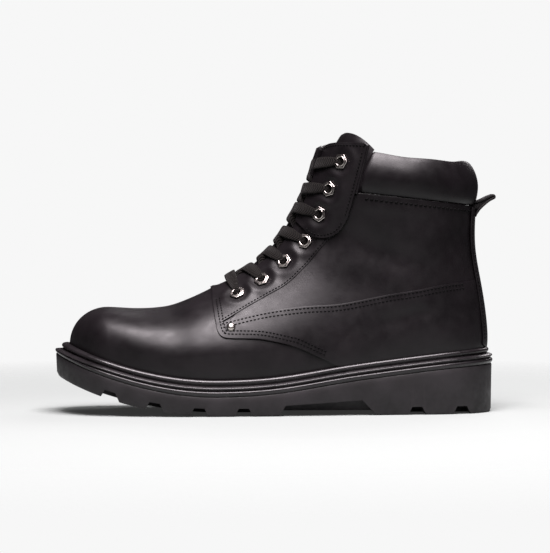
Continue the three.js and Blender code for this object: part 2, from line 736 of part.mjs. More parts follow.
function laceCross(lower, upperEyelet) {
  return crossingStrand(lower, upperEyelet, SIDES.lateral)
    .add(crossingStrand(lower, upperEyelet, SIDES.medial));
}

// Assembly
const boot = new THREE.Group();
boot.add(meshOf('outsole', outsole(), RUBBER));
boot.add(meshOf('midsole', midsole(), RUBBER));
boot.add(meshOf('insole', insole(), FOOTBED));
boot.add(meshOf('upper', upper(), LEATHER));
boot.add(meshOf('collar', collar(), PADDING));
boot.add(meshOf('backstay', backstay(), LEATHER));
boot.add(meshOf('pull_loop', pullLoop(), BRAID));
boot.add(meshOf('tongue', tongue(), PADDING));
for (const [name, side] of Object.entries(SIDES)) {
  boot.add(meshOf(`eyelet_patch_${name}`, eyeletPatch(side), LEATHER));
  boot.add(meshOf(`rivet_${name}`, rivet(side), NICKEL));
  EYELETS.forEach((eyelet, i) => {
    boot.add(meshOf(`eyelet_${name}_${i + 1}`, eyeletRing(eyelet, side), NICKEL));
  });
}
boot.add(meshOf('lace_bar', laceBar(EYELETS.at(-1)), BRAID));
for (let i = 0; i + 1 < EYELETS.length; i++) {
  boot.add(meshOf(`lace_cross_${i + 1}`, laceCross(EYELETS[i + 1], EYELETS[i]), BRAID));
}

export default boot;
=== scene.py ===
import math
import bpy
import numpy as np
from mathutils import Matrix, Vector

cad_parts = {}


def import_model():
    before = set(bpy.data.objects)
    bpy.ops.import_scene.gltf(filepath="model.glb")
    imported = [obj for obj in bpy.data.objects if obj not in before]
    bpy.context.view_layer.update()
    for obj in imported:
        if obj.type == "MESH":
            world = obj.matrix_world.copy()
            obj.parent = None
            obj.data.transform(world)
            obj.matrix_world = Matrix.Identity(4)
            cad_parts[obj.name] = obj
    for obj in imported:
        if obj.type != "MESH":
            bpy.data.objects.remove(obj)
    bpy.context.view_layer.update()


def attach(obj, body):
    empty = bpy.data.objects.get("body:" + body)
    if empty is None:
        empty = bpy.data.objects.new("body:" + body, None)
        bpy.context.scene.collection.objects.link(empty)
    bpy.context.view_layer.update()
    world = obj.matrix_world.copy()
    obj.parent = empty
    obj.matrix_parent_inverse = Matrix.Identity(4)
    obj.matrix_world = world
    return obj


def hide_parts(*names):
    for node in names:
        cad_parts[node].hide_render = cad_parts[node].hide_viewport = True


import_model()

# Driving sizes, in millimetres. The toe points to -X and the outer side of this left boot to -Y.
MM = 0.001
SIDES = {"lateral": -1, "medial": 1}
WALL = 2.6
QUARTER_STEP = 1.2
UNDER_PANEL = 0.6
LEATHER_THICKNESS = 0.6
PATCH_TOP = 2.9
PATCH_THICKNESS = 2.9
BACKSTAY_TOP = 2.4
BACKSTAY_HALF = 15
BACKSTAY_LOW = 44.5
BACKSTAY_HIGH = 141.5
TONGUE_DEPTH = 3.7
TONGUE_THICKNESS = 5.5
TONGUE_SWELL = 2.6
LACE_WIDTH = 7.4
LACE_THICKNESS = 1.6
STRAND_START = 0.2
BAR_DROP = 0.1
EYELET_STANDOFF = 0.35
EYELET_FLANGE = 5.5
EYELET_HOLE = 3.0
EYELET_PUNCH = 4.2
RIVET_RADIUS = 2.9
INSOLE_THICKNESS = 4
INSOLE_INSET = 5.6

# Sections of the last from the toe to above the top line
LAST_COLUMNS = (
    "ridge_x", "ridge_z", "base_x", "base_z", "lateral", "medial", "crest", "level", "crown", "tuck",
)
LAST_ROWS = (
    (-143.5, 72.8, -143.5, 31.0, 31.0, 33.0, 5.0, 0.40, 2.50, 4.0),
    (-116.0, 72.8, -116.0, 25.5, 40.0, 42.0, 5.0, 0.40, 2.50, 4.0),
    (-95.0, 71.9, -95.0, 19.5, 46.0, 47.0, 4.5, 0.42, 2.25, 4.0),
    (-70.0, 75.2, -70.0, 14.0, 50.0, 48.5, 4.0, 0.42, 1.95, 4.0),
    (-45.0, 86.0, -45.0, 12.5, 51.0, 46.0, 3.0, 0.40, 1.70, 4.0),
    (-22.0, 99.5, -10.0, 13.0, 49.0, 42.0, 2.0, 0.36, 1.60, 4.0),
    (-6.0, 113.0, 35.0, 18.0, 44.5, 38.5, 1.0, 0.34, 1.65, 4.0),
    (3.0, 124.5, 82.0, 26.0, 40.0, 37.0, 0.0, 0.36, 1.80, 4.0),
    (8.5, 133.5, 124.0, 29.0, 38.5, 37.5, 0.0, 0.38, 2.00, 3.0),
    (12.5, 140.5, 143.3, 38.5, 38.0, 37.5, 0.0, 0.42, 2.15, 2.3),
    (15.5, 146.0, 145.0, 62.0, 37.5, 37.0, 0.0, 0.45, 2.20, 2.1),
    (18.5, 151.5, 141.0, 89.0, 38.5, 38.0, 0.0, 0.48, 2.20, 2.1),
    (22.0, 159.5, 136.9, 114.0, 40.0, 39.5, 0.0, 0.49, 2.20, 2.1),
    (26.0, 169.5, 137.0, 139.0, 41.5, 41.0, 0.0, 0.50, 2.20, 2.1),
    (31.0, 182.0, 138.6, 164.0, 43.0, 42.5, 0.0, 0.50, 2.20, 2.1),
    (36.5, 198.0, 139.5, 188.0, 44.0, 43.5, 0.0, 0.50, 2.20, 2.1),
)
TOE_MIDDLE_Z = 46
TOE_POWER = 2.2
THROAT_TIP = 4.0
THROAT_SECTIONS = (4.06, 4.12, 4.3, 5, 7, 10, 13, 15.4)
THROAT_HALVES = (0.8, 4.5, 8, 11, 13, 15, 17, 19)

# Sole: height of the bead and margin of the sidewall along the boot, and the side's outline
SOLE_X = (-155, -100, -50, 0, 40, 80, 120, 150)
BEAD_TOP = (26.2, 25.4, 24.7, 27.0, 33.2, 38.5, 43.0, 45.2)
SOLE_MARGIN = (10.0, 7.4, 5.8, 5.8, 6.0, 5.4, 5.6, 6.4)
SPRING_START = -40
SPRING_RADIUS = 240
SEAT_DEPTH = 2.2
MIDSOLE_PROFILE = (
    (2.2, 0, 0.35), (0.4, 0, 0.35), (0.0, 0.1, 0.8), (0.4, 0.3, 1.4), (1.6, 0.4, 1.6), (3.0, 0.4, 1.2),
    (3.9, 0.35, 0.6), (4.7, 1, -1.0), (5.3, 1, 0.2), (6.2, 1, 0.3), (7.3, 1, -0.8), (8.3, 1, 0.45),
    (9.9, 1, 0.45), (11.2, 1, -0.5),
)
OUTSOLE_TOP = 11.5
FORE_NOTCHES = (-114.9, -84.6, -54.3, -24.0)
HEEL_NOTCHES = (95.5, 127.0)
NOTCH_BOTTOM = 12.5
NOTCH_ROOF = 7
NOTCH_DEPTH = 5.5
CHANNEL_INNER = 10.5
CHANNEL_OUTER = 15
CHANNEL_DEPTH = 4.5
FORE_CHANNEL = (-128, -6)
HEEL_CHANNEL = (76, 140)
FAR = 90

# Lines of the side view, as x and z
FRONT_EDGE = (
    (-45, 84), (-44.7, 76), (-42.9, 63.7), (-40.6, 56.6), (-36, 53.7), (-24, 53.2),
    (-12.3, 52.6), (1, 50.1), (12.9, 46.8), (28.1, 40), (44, 32),
)
FACING_LOW_Z = 60.0
FOXING_HIGH_Z = 62.2
RIVET = (-32.6, 60.8)
SEAM = (
    (-41.2, 63.4), (-31.9, 65.7), (-7.6, 71.2), (17.8, 74.5), (43.3, 76.4), (75.7, 82.7), (96, 85.8),
    (112, 88.9), (128.5, 90.9),
)
EYESTAY = ((-38.3, 64.7), (-15.1, 78), (5.3, 89.4), (19.5, 102.4), (29.7, 114.2), (33.6, 118.9), (40, 127))
QUARTER_FRONT = ((-37, 63.5), (-16, 82), (2, 94), (15, 107), (27, 121), (41, 138), (53, 150))
FACING_TOP_Z = 136
LINING_TOP_Z = 150
PATCH_FRONT_Z = 132.5
PATCH_BOTTOM = ((18.6, 127.2), (22, 123.4), (27, 121.6), (32, 121.4), (38, 123.2), (43, 127.2), (47.3, 134.2))
PATCH_REAR = ((47.3, 134.2), (52, 151), (55.8, 165.4), (60.4, 184))
PATCH_REAR_TOP = ((31.9, 183.6), (34.9, 185.9), (39.5, 186.8), (46, 186.8), (58.2, 186.3), (60.4, 184))
THROAT_TOP_Z = 186.9
COLLAR_FRONT = ((54.6, 152.7), (62.0, 180.6))
COLLAR_SEAM_START = (53.4, 152.7)
COLLAR_SEAM_FALL = 9 / 81.6
COLLAR_TOP_START = (61.3, 181)
COLLAR_TOP_FALL = 6.5 / 52
COLLAR_DIP_X = 86
COLLAR_DIP_HALF = 16
COLLAR_DIP_DEPTH = 1.3
PIPING = ((53.0, 151.2), (56.4, 165.4), (60.8, 183.0), (60.9, 184.4))
PIPING_WIDTH = 1.8
PIPING_HEIGHT = 1.9
EYELETS = (
    (43.2, 173.7, True), (35.2, 155.0, True), (28.8, 137.6, True), (19.0, 118.9, False),
    (4.6, 104.9, False), (-10.7, 92.5, False), (-27.7, 83.2, False),
)
# Creases as x and z of both ends, half width and height
CREASES = (
    (-72, 76, -70, 47, 9, -0.4), (-54, 74, -56, 50, 8, 0.3), (74, 64, 100, 70, 5.5, -0.6),
    (72, 74, 98, 79, 6.0, 0.45), (46, 119, 92, 106, 9, -0.6), (36, 104, 84, 93, 9, 0.5),
    (60, 144, 100, 139.5, 4.5, 0.45), (108, 102, 124, 126, 8, -0.4),
)
PULL_ROOT = (140.4, 141.5)
PULL_TIP = (151.2, 149.6)
PULL_UNDER = ((139.2, 135.4), (139.7, 137.4), (141.4, 140.6), (144.6, 143.8), (148.4, 146.9))
PULL_OVER = ((147.6, 149.3), (144.2, 147.6), (140.6, 146.3), (136.4, 145.6))
PULL_CORE = ((136.0, 142.0), (140.0, 143.2), (143.8, 145.4), (148.0, 148.1))
PULL_WIDTH = 18
# Stitches as pitch, length and radius, and for the collar a slant
FRONT_STITCH = (2.5, 1.9, 0.42)
SEAM_STITCH = (2.7, 2.0, 0.42)
EYESTAY_STITCH = (2.4, 1.8, 0.4)
PATCH_STITCH = (2.4, 1.8, 0.42)
COLLAR_STITCH = (3.4, 2.9, 0.62, 0.3)
BACKSTAY_STITCH = (2.6, 1.9, 0.42)
BACKSTAY_STITCH_Z = (48.5, 139.0)


# Curves and solving

def spline_through(knots, values):
    """A natural cubic spline."""
    knots = np.asarray(knots, float)
    values = np.asarray(values, float)
    spans = np.diff(knots)
    slopes = np.diff(values) / spans
    system = np.eye(len(knots))
    turns = np.zeros(len(knots))
    for i in range(1, len(knots) - 1):
        system[i, i - 1:i + 2] = (spans[i - 1], 2 * (spans[i - 1] + spans[i]), spans[i])
        turns[i] = 6 * (slopes[i] - slopes[i - 1])
    bends = np.linalg.solve(system, turns)

    def at(place):
        place = np.asarray(place, float)
        i = np.clip(np.searchsorted(knots, place) - 1, 0, len(knots) - 2)
        high = (place - knots[i]) / spans[i]
        low = 1 - high
        curve = (low ** 3 - low) * bends[i] + (high ** 3 - high) * bends[i + 1]
        return low * values[i] + high * values[i + 1] + curve * spans[i] ** 2 / 6

    return at


def crossing(low, high, rising):
    """Where a rising function of an array passes zero, between two arrays."""
    low = np.array(low, float)
    high = np.array(high, float)
    for _ in range(40):
        middle = (low + high) / 2
        under = rising(middle) < 0
        low = np.where(under, middle, low)
        high = np.where(under, high, middle)
    return (low + high) / 2


def smooth_step(low, high, at):
    share = np.clip((np.asarray(at, float) - low) / (high - low), 0, 1)
    return share * share * (3 - 2 * share)


def flowing(points, steps=10, closed=False):
    """A smooth line through points of any number of columns."""
    points = np.asarray(points, float)
    if closed:
        padded = np.concatenate([points[-1:], points, points[:2]])
    else:
        padded = np.concatenate([2 * points[:1] - points[1:2], points, 2 * points[-1:] - points[-2:-1]])
    share = np.linspace(0, 1, steps, endpoint=False)[:, None]
    runs = []
    for a, b, c, d in zip(padded, padded[1:], padded[2:], padded[3:]):
        curve = 2 * b + (c - a) * share + (2 * a - 5 * b + 4 * c - d) * share ** 2
        curve = curve + (3 * b - a - 3 * c + d) * share ** 3
        runs.append(curve / 2)
    if not closed:
        runs.append(points[-1:])
    return np.concatenate(runs)


def even_line(points, count):
    """Points at equal steps along a line."""
    lengths = np.concatenate([[0], np.cumsum(np.linalg.norm(np.diff(points, axis=0), axis=1))])
    wanted = np.linspace(0, lengths[-1], count)
    return np.stack([np.interp(wanted, lengths, points[:, i]) for i in range(points.shape[1])], -1)


def unit(vectors):
    return vectors / np.maximum(np.linalg.norm(vectors, axis=-1, keepdims=True), 1e-9)


# The last

LAST_CURVES = {
    name: spline_through(range(len(LAST_ROWS)), [row[i] for row in LAST_ROWS])
    for i, name in enumerate(LAST_COLUMNS)
}
throat_half = spline_through(THROAT_SECTIONS, THROAT_HALVES)
bead_top = spline_through(SOLE_X, BEAD_TOP)
sole_margin = spline_through(SOLE_X, SOLE_MARGIN)


def section(t):
    """Section at place t along the last. From 0 to 1 the toe is rounded off."""
    t = np.maximum(np.asarray(t, float), 0)
    toe = np.where(t < 1, np.cos(np.minimum(t, 1) * math.pi / 2), 0)
    knot = np.where(t < 1, 1 - toe, t)
    row = {name: curve(knot) for name, curve in LAST_CURVES.items()}
    full = (1 - toe ** TOE_POWER) ** (1 / TOE_POWER)
    row["ridge_z"] = TOE_MIDDLE_Z + (row["ridge_z"] - TOE_MIDDLE_Z) * full
    row["base_z"] = TOE_MIDDLE_Z + (row["base_z"] - TOE_MIDDLE_Z) * full
    row["lateral"] = (row["lateral"] + row["crest"]) * full - row["crest"]
    row["medial"] = (row["medial"] - row["crest"]) * full + row["crest"]
    return row


def skin_point(t, phi):
    """Point of the skin: phi is 0 on the ridge, negative on the lateral side, half a turn at the heel."""
    row = section(t)
    up = np.cos(phi)
    aside = np.abs(np.sin(phi))
    power = np.where(up >= 0, row["crown"], row["tuck"])
    reach = (np.abs(up) ** power + aside ** power) ** (-1 / power)
    half = np.where(up >= 0, 1 - row["level"], row["level"])
    share = row["level"] + up * reach * half
    width = np.where(np.sin(phi) < 0, -row["lateral"] - row["crest"], row["medial"] - row["crest"])
    return np.stack([
        row["base_x"] + (row["ridge_x"] - row["base_x"]) * share,
        row["crest"] + aside * reach * width,
        row["base_z"] + (row["ridge_z"] - row["base_z"]) * share,
    ], -1)


def skin_normal(t, phi):
    step = 0.004
    across = skin_point(t, phi + step) - skin_point(t, phi - step)
    along = skin_point(t + step, phi) - skin_point(np.asarray(t) - step, phi)
    normal = unit(np.cross(along, across))
    toe = np.asarray(t)[..., None] < 0.01
    return np.where(toe, np.array([-1.0, 0, 0]), normal)


def last_point(t, phi, out):
    out = np.asarray(out, float)
    return skin_point(t, phi) + skin_normal(t, phi) * out[..., None]


def skin_place(x, z, side):
    """Place on the skin, as t and phi, of a point seen from the side."""
    def before(at):
        row = section(at)
        run_x = row["ridge_x"] - row["base_x"]
        run_z = row["ridge_z"] - row["base_z"]
        return run_x * (z - row["base_z"]) - run_z * (x - row["base_x"])

    t = crossing(np.full(np.shape(x), 0.05), np.full(np.shape(x), 16.0), before)
    row = section(t)
    run_x = row["ridge_x"] - row["base_x"]
    run_z = row["ridge_z"] - row["base_z"]
    share = ((x - row["base_x"]) * run_x + (z - row["base_z"]) * run_z) / (run_x ** 2 + run_z ** 2)
    over = share >= row["level"]
    up = np.where(over, (share - row["level"]) / (1 - row["level"]), (row["level"] - share) / row["level"])
    up = np.clip(up, 0, 1)
    power = np.where(over, row["crown"], row["tuck"])
    phi = np.arctan2((1 - up ** power) ** (1 / power), np.where(over, up, -up))
    return t, phi * side


def side_place(x, z, side, out):
    """The same for a point that is seen on a surface outside the skin."""
    x = np.asarray(x, float)
    z = np.asarray(z, float)
    t, phi = skin_place(x, z, side)
    for _ in range(4):
        normal = skin_normal(t, phi)
        t, phi = skin_place(x - normal[..., 0] * out, z - normal[..., 2] * out, side)
    return t, phi


def phi_across(t, across):
    """Place on the upper half of a section at a distance across the boot from its ridge."""
    t = np.asarray(t, float)
    across = np.asarray(across, float)
    side = np.where(across < 0, -1.0, 1.0)
    crest = section(t)["crest"]
    reach = crossing(
        np.zeros(np.broadcast(t, across).shape), np.full(np.broadcast(t, across).shape, math.pi / 2),
        lambda phi: np.abs(skin_point(t, phi * side)[..., 1] - crest) - np.abs(across))
    return side * reach


def phi_behind(t, across):
    """The same on the back half, where half a turn is the middle of the heel."""
    t = np.asarray(t, float)
    crest = section(t)["crest"]
    side = np.where(across < 0, -1.0, 1.0)
    reach = crossing(
        np.zeros(np.shape(t)), np.full(np.shape(t), math.pi / 2),
        lambda turn: np.abs(skin_point(t, (math.pi - turn) * side)[..., 1] - crest) - np.abs(across))
    return np.where(across < 0, math.pi + reach, math.pi - reach)


def toe_spring(x):
    return np.maximum(0, SPRING_START - np.asarray(x)) ** 2 / (2 * SPRING_RADIUS)


def over_seat(points):
    return points[..., 2] - (bead_top(points[..., 0]) - SEAT_DEPTH + toe_spring(points[..., 0]))


FEATHER_FRONT = float(crossing(0.0, 0.9, lambda t: over_seat(skin_point(t, 0.0))))
FEATHER_BACK = float(crossing(8.0, 11.0, lambda t: over_seat(skin_point(t, math.pi))))


def feather_phi(t, side):
    """Where the upper meets the seat of the sole."""
    t = np.asarray(t, float)
    half_turn = np.full(t.shape, math.pi)
    reach = crossing(np.zeros(t.shape), half_turn, lambda phi: -over_seat(skin_point(t, phi * side)))
    return reach * side


# Lines on the skin, as rows of t and phi

def side_line(points, side, out=QUARTER_STEP, steps=10):
    line = flowing(points, steps)
    return np.stack(side_place(line[:, 0], line[:, 1], side, out), -1)


def throat_line(side, last):
    t = np.concatenate([np.linspace(THROAT_TIP, 4.3, 30), np.linspace(4.32, last, 150)])
    opening = THROAT_HALVES[0] * (t - THROAT_TIP) / (THROAT_SECTIONS[0] - THROAT_TIP)
    half = np.where(t < THROAT_SECTIONS[0], opening, throat_half(t))
    return np.stack([t, phi_across(t, side * half)], -1)


def throat_place(side, z):
    """Section at which the edge of the throat has a height."""
    return float(crossing(
        4.3, 15.9, lambda t: skin_point(t, phi_across(t, side * throat_half(t)))[..., 2] - z))


def feather_run(side, first_x):
    start = skin_place(np.array(first_x), bead_top(first_x) - SEAT_DEPTH, side)[0]
    t = np.linspace(float(start), FEATHER_BACK, 80)
    return np.stack([t, feather_phi(t, side)], -1)


def level_line(phi, height):
    """Places on given turns round the ankle, at a height that depends on x."""
    def over(t):
        points = skin_point(t, phi)
        return points[..., 2] - height(points[..., 0])

    t = crossing(np.full(phi.shape, 8.0), np.full(phi.shape, 16.0), over)
    return np.stack([t, phi], -1)


def seam_height(x):
    return COLLAR_SEAM_START[1] - (x - COLLAR_SEAM_START[0]) * COLLAR_SEAM_FALL


def collar_top(x):
    dip = COLLAR_DIP_DEPTH * np.exp(-((x - COLLAR_DIP_X) / COLLAR_DIP_HALF) ** 2)
    return COLLAR_TOP_START[1] - (x - COLLAR_TOP_START[0]) * COLLAR_TOP_FALL - dip


def collar_seam_line(side):
    start = side_place(53.9, 152.3, side, QUARTER_STEP)[1]
    return level_line(np.linspace(float(start), side * math.pi, 90), lambda x: seam_height(x) - 0.4)


def heel_line(side, first, last):
    t = np.linspace(first, last, 40)
    return np.stack([t, np.full(40, side * math.pi)], -1)


def shifted(line, distance, steps=5):
    """A line moved sideways over the skin, to its right seen from outside."""
    moved = np.array(line, float)
    step = 0.004
    for _ in range(steps):
        t = moved[:, 0]
        phi = moved[:, 1]
        by_t = (skin_point(t + step, phi) - skin_point(t - step, phi)) / (2 * step)
        by_phi = (skin_point(t, phi + step) - skin_point(t, phi - step)) / (2 * step)
        run = unit(np.gradient(skin_point(t, phi), axis=0))
        wanted = np.cross(run, skin_normal(t, phi)) * distance / steps
        axes = np.stack([by_t, by_phi], -1)
        moved = moved + np.array([np.linalg.lstsq(*pair, rcond=None)[0] for pair in zip(axes, wanted)])
    return moved


def follow(line):
    """A function from 0 to 1 along a line, at even speed over the skin."""
    line = np.asarray(line, float)
    steps = np.linalg.norm(np.diff(skin_point(line[:, 0], line[:, 1]), axis=0), axis=1)
    share = np.concatenate([[0], np.cumsum(steps)])
    share /= share[-1]
    return lambda at: np.stack([np.interp(at, share, line[:, 0]), np.interp(at, share, line[:, 1])], -1)


def patch_between(bottom, right, top, left):
    """Places of a four-sided panel between its edges."""
    low, high, start, end = follow(bottom), follow(top), follow(left), follow(right)

    def place(u, v):
        across = u[:, None]
        upward = v[:, None]
        ruled = (1 - upward) * low(u) + upward * high(u) + (1 - across) * start(v) + across * end(v)
        corners = (1 - across) * ((1 - upward) * low(0.0) + upward * high(0.0))
        corners = corners + across * ((1 - upward) * low(1.0) + upward * high(1.0))
        places = ruled - corners
        return places[:, 0], places[:, 1]

    return place


# Mesh work

def deselect():
    if bpy.context.object and bpy.context.object.mode != "OBJECT":
        bpy.ops.object.mode_set(mode="OBJECT")
    bpy.ops.object.select_all(action="DESELECT")


def take(piece):
    deselect()
    piece.select_set(True)
    bpy.context.view_layer.objects.active = piece


def set_points(piece, points):
    piece.data.vertices.foreach_set("co", (np.asarray(points) * MM).ravel())
    piece.data.update()


def get_points(piece):
    points = np.empty(len(piece.data.vertices) * 3)
    piece.data.vertices.foreach_get("co", points)
    return points.reshape(-1, 3) / MM


def fitted_grid(name, columns, rows, place):
    """A grid primitive whose points are laid where place(u, v) says, in millimetres."""
    deselect()
    bpy.ops.mesh.primitive_grid_add(x_subdivisions=columns, y_subdivisions=rows, size=1, calc_uvs=True)
    piece = bpy.context.object
    piece.name = name
    piece.data.name = name
    flat = get_points(piece) * MM
    set_points(piece, place(flat[:, 0] + 0.5, flat[:, 1] + 0.5))
    return piece


def stretch_uv(piece, across, along):
    """Gives the UV map the piece's size in millimetres."""
    layer = piece.data.uv_layers.active.data
    values = np.empty(len(layer) * 2)
    layer.foreach_get("uv", values)
    values = values.reshape(-1, 2) * (across, along)
    layer.foreach_set("uv", values.ravel())


def close_seams(piece):
    take(piece)
    bpy.ops.object.mode_set(mode="EDIT")
    bpy.ops.mesh.select_all(action="SELECT")
    bpy.ops.mesh.remove_doubles(threshold=0.00002)
    bpy.ops.mesh.normals_make_consistent(inside=False)
    bpy.ops.object.mode_set(mode="OBJECT")


def face_out(piece, outward):
    """Turns a sheet's faces to the outside."""
    normals = np.empty(len(piece.data.vertices) * 3)
    piece.data.vertices.foreach_get("normal", normals)
    if np.mean(np.sum(normals.reshape(-1, 3) * outward, axis=1)) < 0:
        take(piece)
        bpy.ops.object.mode_set(mode="EDIT")
        bpy.ops.mesh.select_all(action="SELECT")
        bpy.ops.mesh.flip_normals()
        bpy.ops.object.mode_set(mode="OBJECT")


def apply_modifier(piece, kind, **settings):
    take(piece)
    modifier = piece.modifiers.new(kind.lower(), kind)
    for name, value in settings.items():
        setattr(modifier, name, value)
    bpy.ops.object.modifier_apply(modifier=modifier.name)


def thicken(piece, thickness, edge=0.0):
    apply_modifier(piece, "SOLIDIFY", thickness=thickness * MM, offset=-1)
    if edge:
        round_edges(piece, edge)


def round_edges(piece, width, segments=2, angle=50):
    apply_modifier(piece, "BEVEL", width=width * MM, segments=segments, limit_method="ANGLE",
                   angle_limit=math.radians(angle))


def smooth(piece, angle=38):
    take(piece)
    bpy.ops.object.shade_smooth_by_angle(angle=math.radians(angle))


def join(pieces, name):
    take(pieces[0])
    for piece in pieces:
        piece.select_set(True)
    bpy.ops.object.join()
    joined = bpy.context.object
    joined.name = name
    joined.data.name = name
    return joined


def settle(piece, finish, slot, *nodes):
    """Gives a finished piece its material, its body and the solids that it stands for."""
    piece.data.materials.clear()
    piece.data.materials.append(finish)
    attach(piece, "root")
    if nodes:
        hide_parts(*nodes)
    return piece


def tube(name, path, normals, wide, thick, around=16, squareness=0.5):
    """A band with rounded edges along a path. Wide and thick may change along it."""
    count = len(path)
    run = unit(np.gradient(path, axis=0))
    sideways = unit(np.cross(run, normals))
    lift = np.cross(sideways, run)
    wide = np.broadcast_to(wide, count)
    thick = np.broadcast_to(thick, count)

    def place(u, v):
        station = np.clip(np.rint(v * (count - 1)).astype(int), 0, count - 1)
        turn = u * 2 * math.pi
        across = np.sign(np.cos(turn)) * np.abs(np.cos(turn)) ** squareness
        up = np.sign(np.sin(turn)) * np.abs(np.sin(turn)) ** squareness
        centre = path[station]
        ends = np.where((station == 0) | (station == count - 1), 0.0, 1.0)
        across = across * ends * wide[station] / 2
        up = up * ends * thick[station] / 2
        return centre + sideways[station] * across[:, None] + lift[station] * up[:, None]

    piece = fitted_grid(name, around, count - 1, place)
    length = np.sum(np.linalg.norm(np.diff(path, axis=0), axis=1))
    stretch_uv(piece, 1, length)
    close_seams(piece)
    return piece


# Finishes

def add_node(tree, kind, inputs=None, **settings):
    """A shader node. An input that is another node's socket is linked, and any other is set."""
    made = tree.nodes.new(kind)
    for name, value in settings.items():
        setattr(made, name, value)
    for name, value in (inputs or {}).items():
        socket = made.inputs[name]
        if isinstance(value, bpy.types.NodeSocket):
            tree.links.new(value, socket)
        else:
            socket.default_value = value
    return made


def new_finish(name, **constants):
    finish = bpy.data.materials.new(name)
    finish.use_nodes = True
    shader = finish.node_tree.nodes["Principled BSDF"]
    for socket, value in constants.items():
        shader.inputs[socket.replace("_", " ")].default_value = value
    return finish, finish.node_tree, shader


def object_place(tree):
    return add_node(tree, "ShaderNodeTexCoord").outputs["Object"]


def noise(tree, place, scale, detail=3.0):
    inputs = {"Vector": place, "Scale": scale, "Detail": detail}
    return add_node(tree, "ShaderNodeTexNoise", inputs).outputs["Fac"]


def between(tree, value, low, high, from_low=0.3, from_high=0.7):
    made = add_node(tree, "ShaderNodeMapRange", {
        "Value": value, "From Min": from_low, "From Max": from_high, "To Min": low, "To Max": high})
    return made.outputs["Result"]


def mixed(tree, value, dark, light, low=0.35, high=0.65):
    ramp = add_node(tree, "ShaderNodeValToRGB", {"Fac": value})
    ramp.color_ramp.elements[0].position = low
    ramp.color_ramp.elements[0].color = (*dark, 1)
    ramp.color_ramp.elements[1].position = high
    ramp.color_ramp.elements[1].color = (*light, 1)
    return ramp.outputs["Color"]


def bump(tree, shader, height, strength, distance, under=None):
    inputs = {"Height": height, "Strength": strength, "Distance": distance * MM}
    if under is not None:
        inputs["Normal"] = under
    made = add_node(tree, "ShaderNodeBump", inputs)
    tree.links.new(made.outputs["Normal"], shader.inputs["Normal"])
    return made.outputs["Normal"]


def leather(name, dark, light, rough_low, rough_high, grain):
    finish, tree, shader = new_finish(name, Specular_IOR_Level=0.28)
    place = object_place(tree)
    tone = noise(tree, place, 38.0, 5.0)
    tree.links.new(mixed(tree, tone, dark, light), shader.inputs["Base Color"])
    cell_inputs = {"Vector": place, "Scale": 1150.0}
    cells = add_node(tree, "ShaderNodeTexVoronoi", cell_inputs, feature="DISTANCE_TO_EDGE")
    pores = noise(tree, place, 2600.0, 2.0)
    wear = noise(tree, place, 140.0, 4.0)
    tree.links.new(between(tree, wear, rough_low, rough_high), shader.inputs["Roughness"])
    soft = bump(tree, shader, noise(tree, place, 90.0, 3.0), 0.22, 0.5)
    fine = bump(tree, shader, pores, 0.25 * grain, 0.08, soft)
    bump(tree, shader, cells.outputs["Distance"], 0.5 * grain, 0.12, fine)
    return finish


def rubber(name, dark, light, rough_low, rough_high, shine=0.4):
    finish, tree, shader = new_finish(name, Specular_IOR_Level=shine)
    place = object_place(tree)
    tree.links.new(mixed(tree, noise(tree, place, 55.0, 6.0), dark, light), shader.inputs["Base Color"])
    worn = between(tree, noise(tree, place, 240.0, 4.0), rough_low, rough_high)
    tree.links.new(worn, shader.inputs["Roughness"])
    stipple = noise(tree, place, 1900.0, 2.0)
    bump(tree, shader, stipple, 0.4, 0.12)
    return finish


def woven(name, dark, light, rows_along, columns_around, relief):
    """Braid on the UV map: u once round the band, v in millimetres along it."""
    finish, tree, shader = new_finish(name, Roughness=0.82, Specular_IOR_Level=0.13, Sheen_Weight=0.03)
    uv = add_node(tree, "ShaderNodeTexCoord").outputs["UV"]
    parts = add_node(tree, "ShaderNodeSeparateXYZ", {"Vector": uv})
    around = {0: parts.outputs["X"], 1: columns_around}
    columns = add_node(tree, "ShaderNodeMath", around, operation="MULTIPLY")
    fold = add_node(tree, "ShaderNodeMath", {0: columns.outputs[0], 1: 1.0}, operation="PINGPONG")
    rise = add_node(tree, "ShaderNodeMath", {0: parts.outputs["Y"], 1: rows_along}, operation="MULTIPLY")
    slant = add_node(tree, "ShaderNodeMath", {0: rise.outputs[0], 1: fold.outputs[0]}, operation="ADD")
    ridge = add_node(tree, "ShaderNodeMath", {0: slant.outputs[0], 1: 0.5}, operation="PINGPONG")
    strand = between(tree, ridge.outputs[0], 0.0, 1.0, 0.0, 0.5)
    fuzz = noise(tree, object_place(tree), 1500.0, 3.0)
    # Colour: painted shade, darker in the grooves between the strands and lighter on their ridges, times
    # random flecks from the fuzz.
    groove_shade_and_flecks = add_node(tree, "ShaderNodeMath", {0: strand, 1: fuzz}, operation="MULTIPLY")
    tree.links.new(mixed(tree, groove_shade_and_flecks.outputs[0], dark, light, 0.1, 0.6), shader.inputs["Base Color"])
    fine = bump(tree, shader, fuzz, 0.3, 0.1)
    bump(tree, shader, strand, 0.9, relief, fine)
    return finish


def cloth(name, dark, light, mesh_scale):
    finish, tree, shader = new_finish(name, Roughness=0.9, Specular_IOR_Level=0.2, Sheen_Weight=0.2)
    place = object_place(tree)
    cells = add_node(tree, "ShaderNodeTexVoronoi", {"Vector": place, "Scale": mesh_scale, "Randomness": 0.35})
    mottled = {0: cells.outputs["Distance"], 1: noise(tree, place, 60.0)}
    tone = add_node(tree, "ShaderNodeMath", mottled, operation="MULTIPLY")
    tree.links.new(mixed(tree, tone.outputs[0], dark, light, 0.1, 0.45), shader.inputs["Base Color"])
    bump(tree, shader, cells.outputs["Distance"], 0.7, 0.3)
    return finish


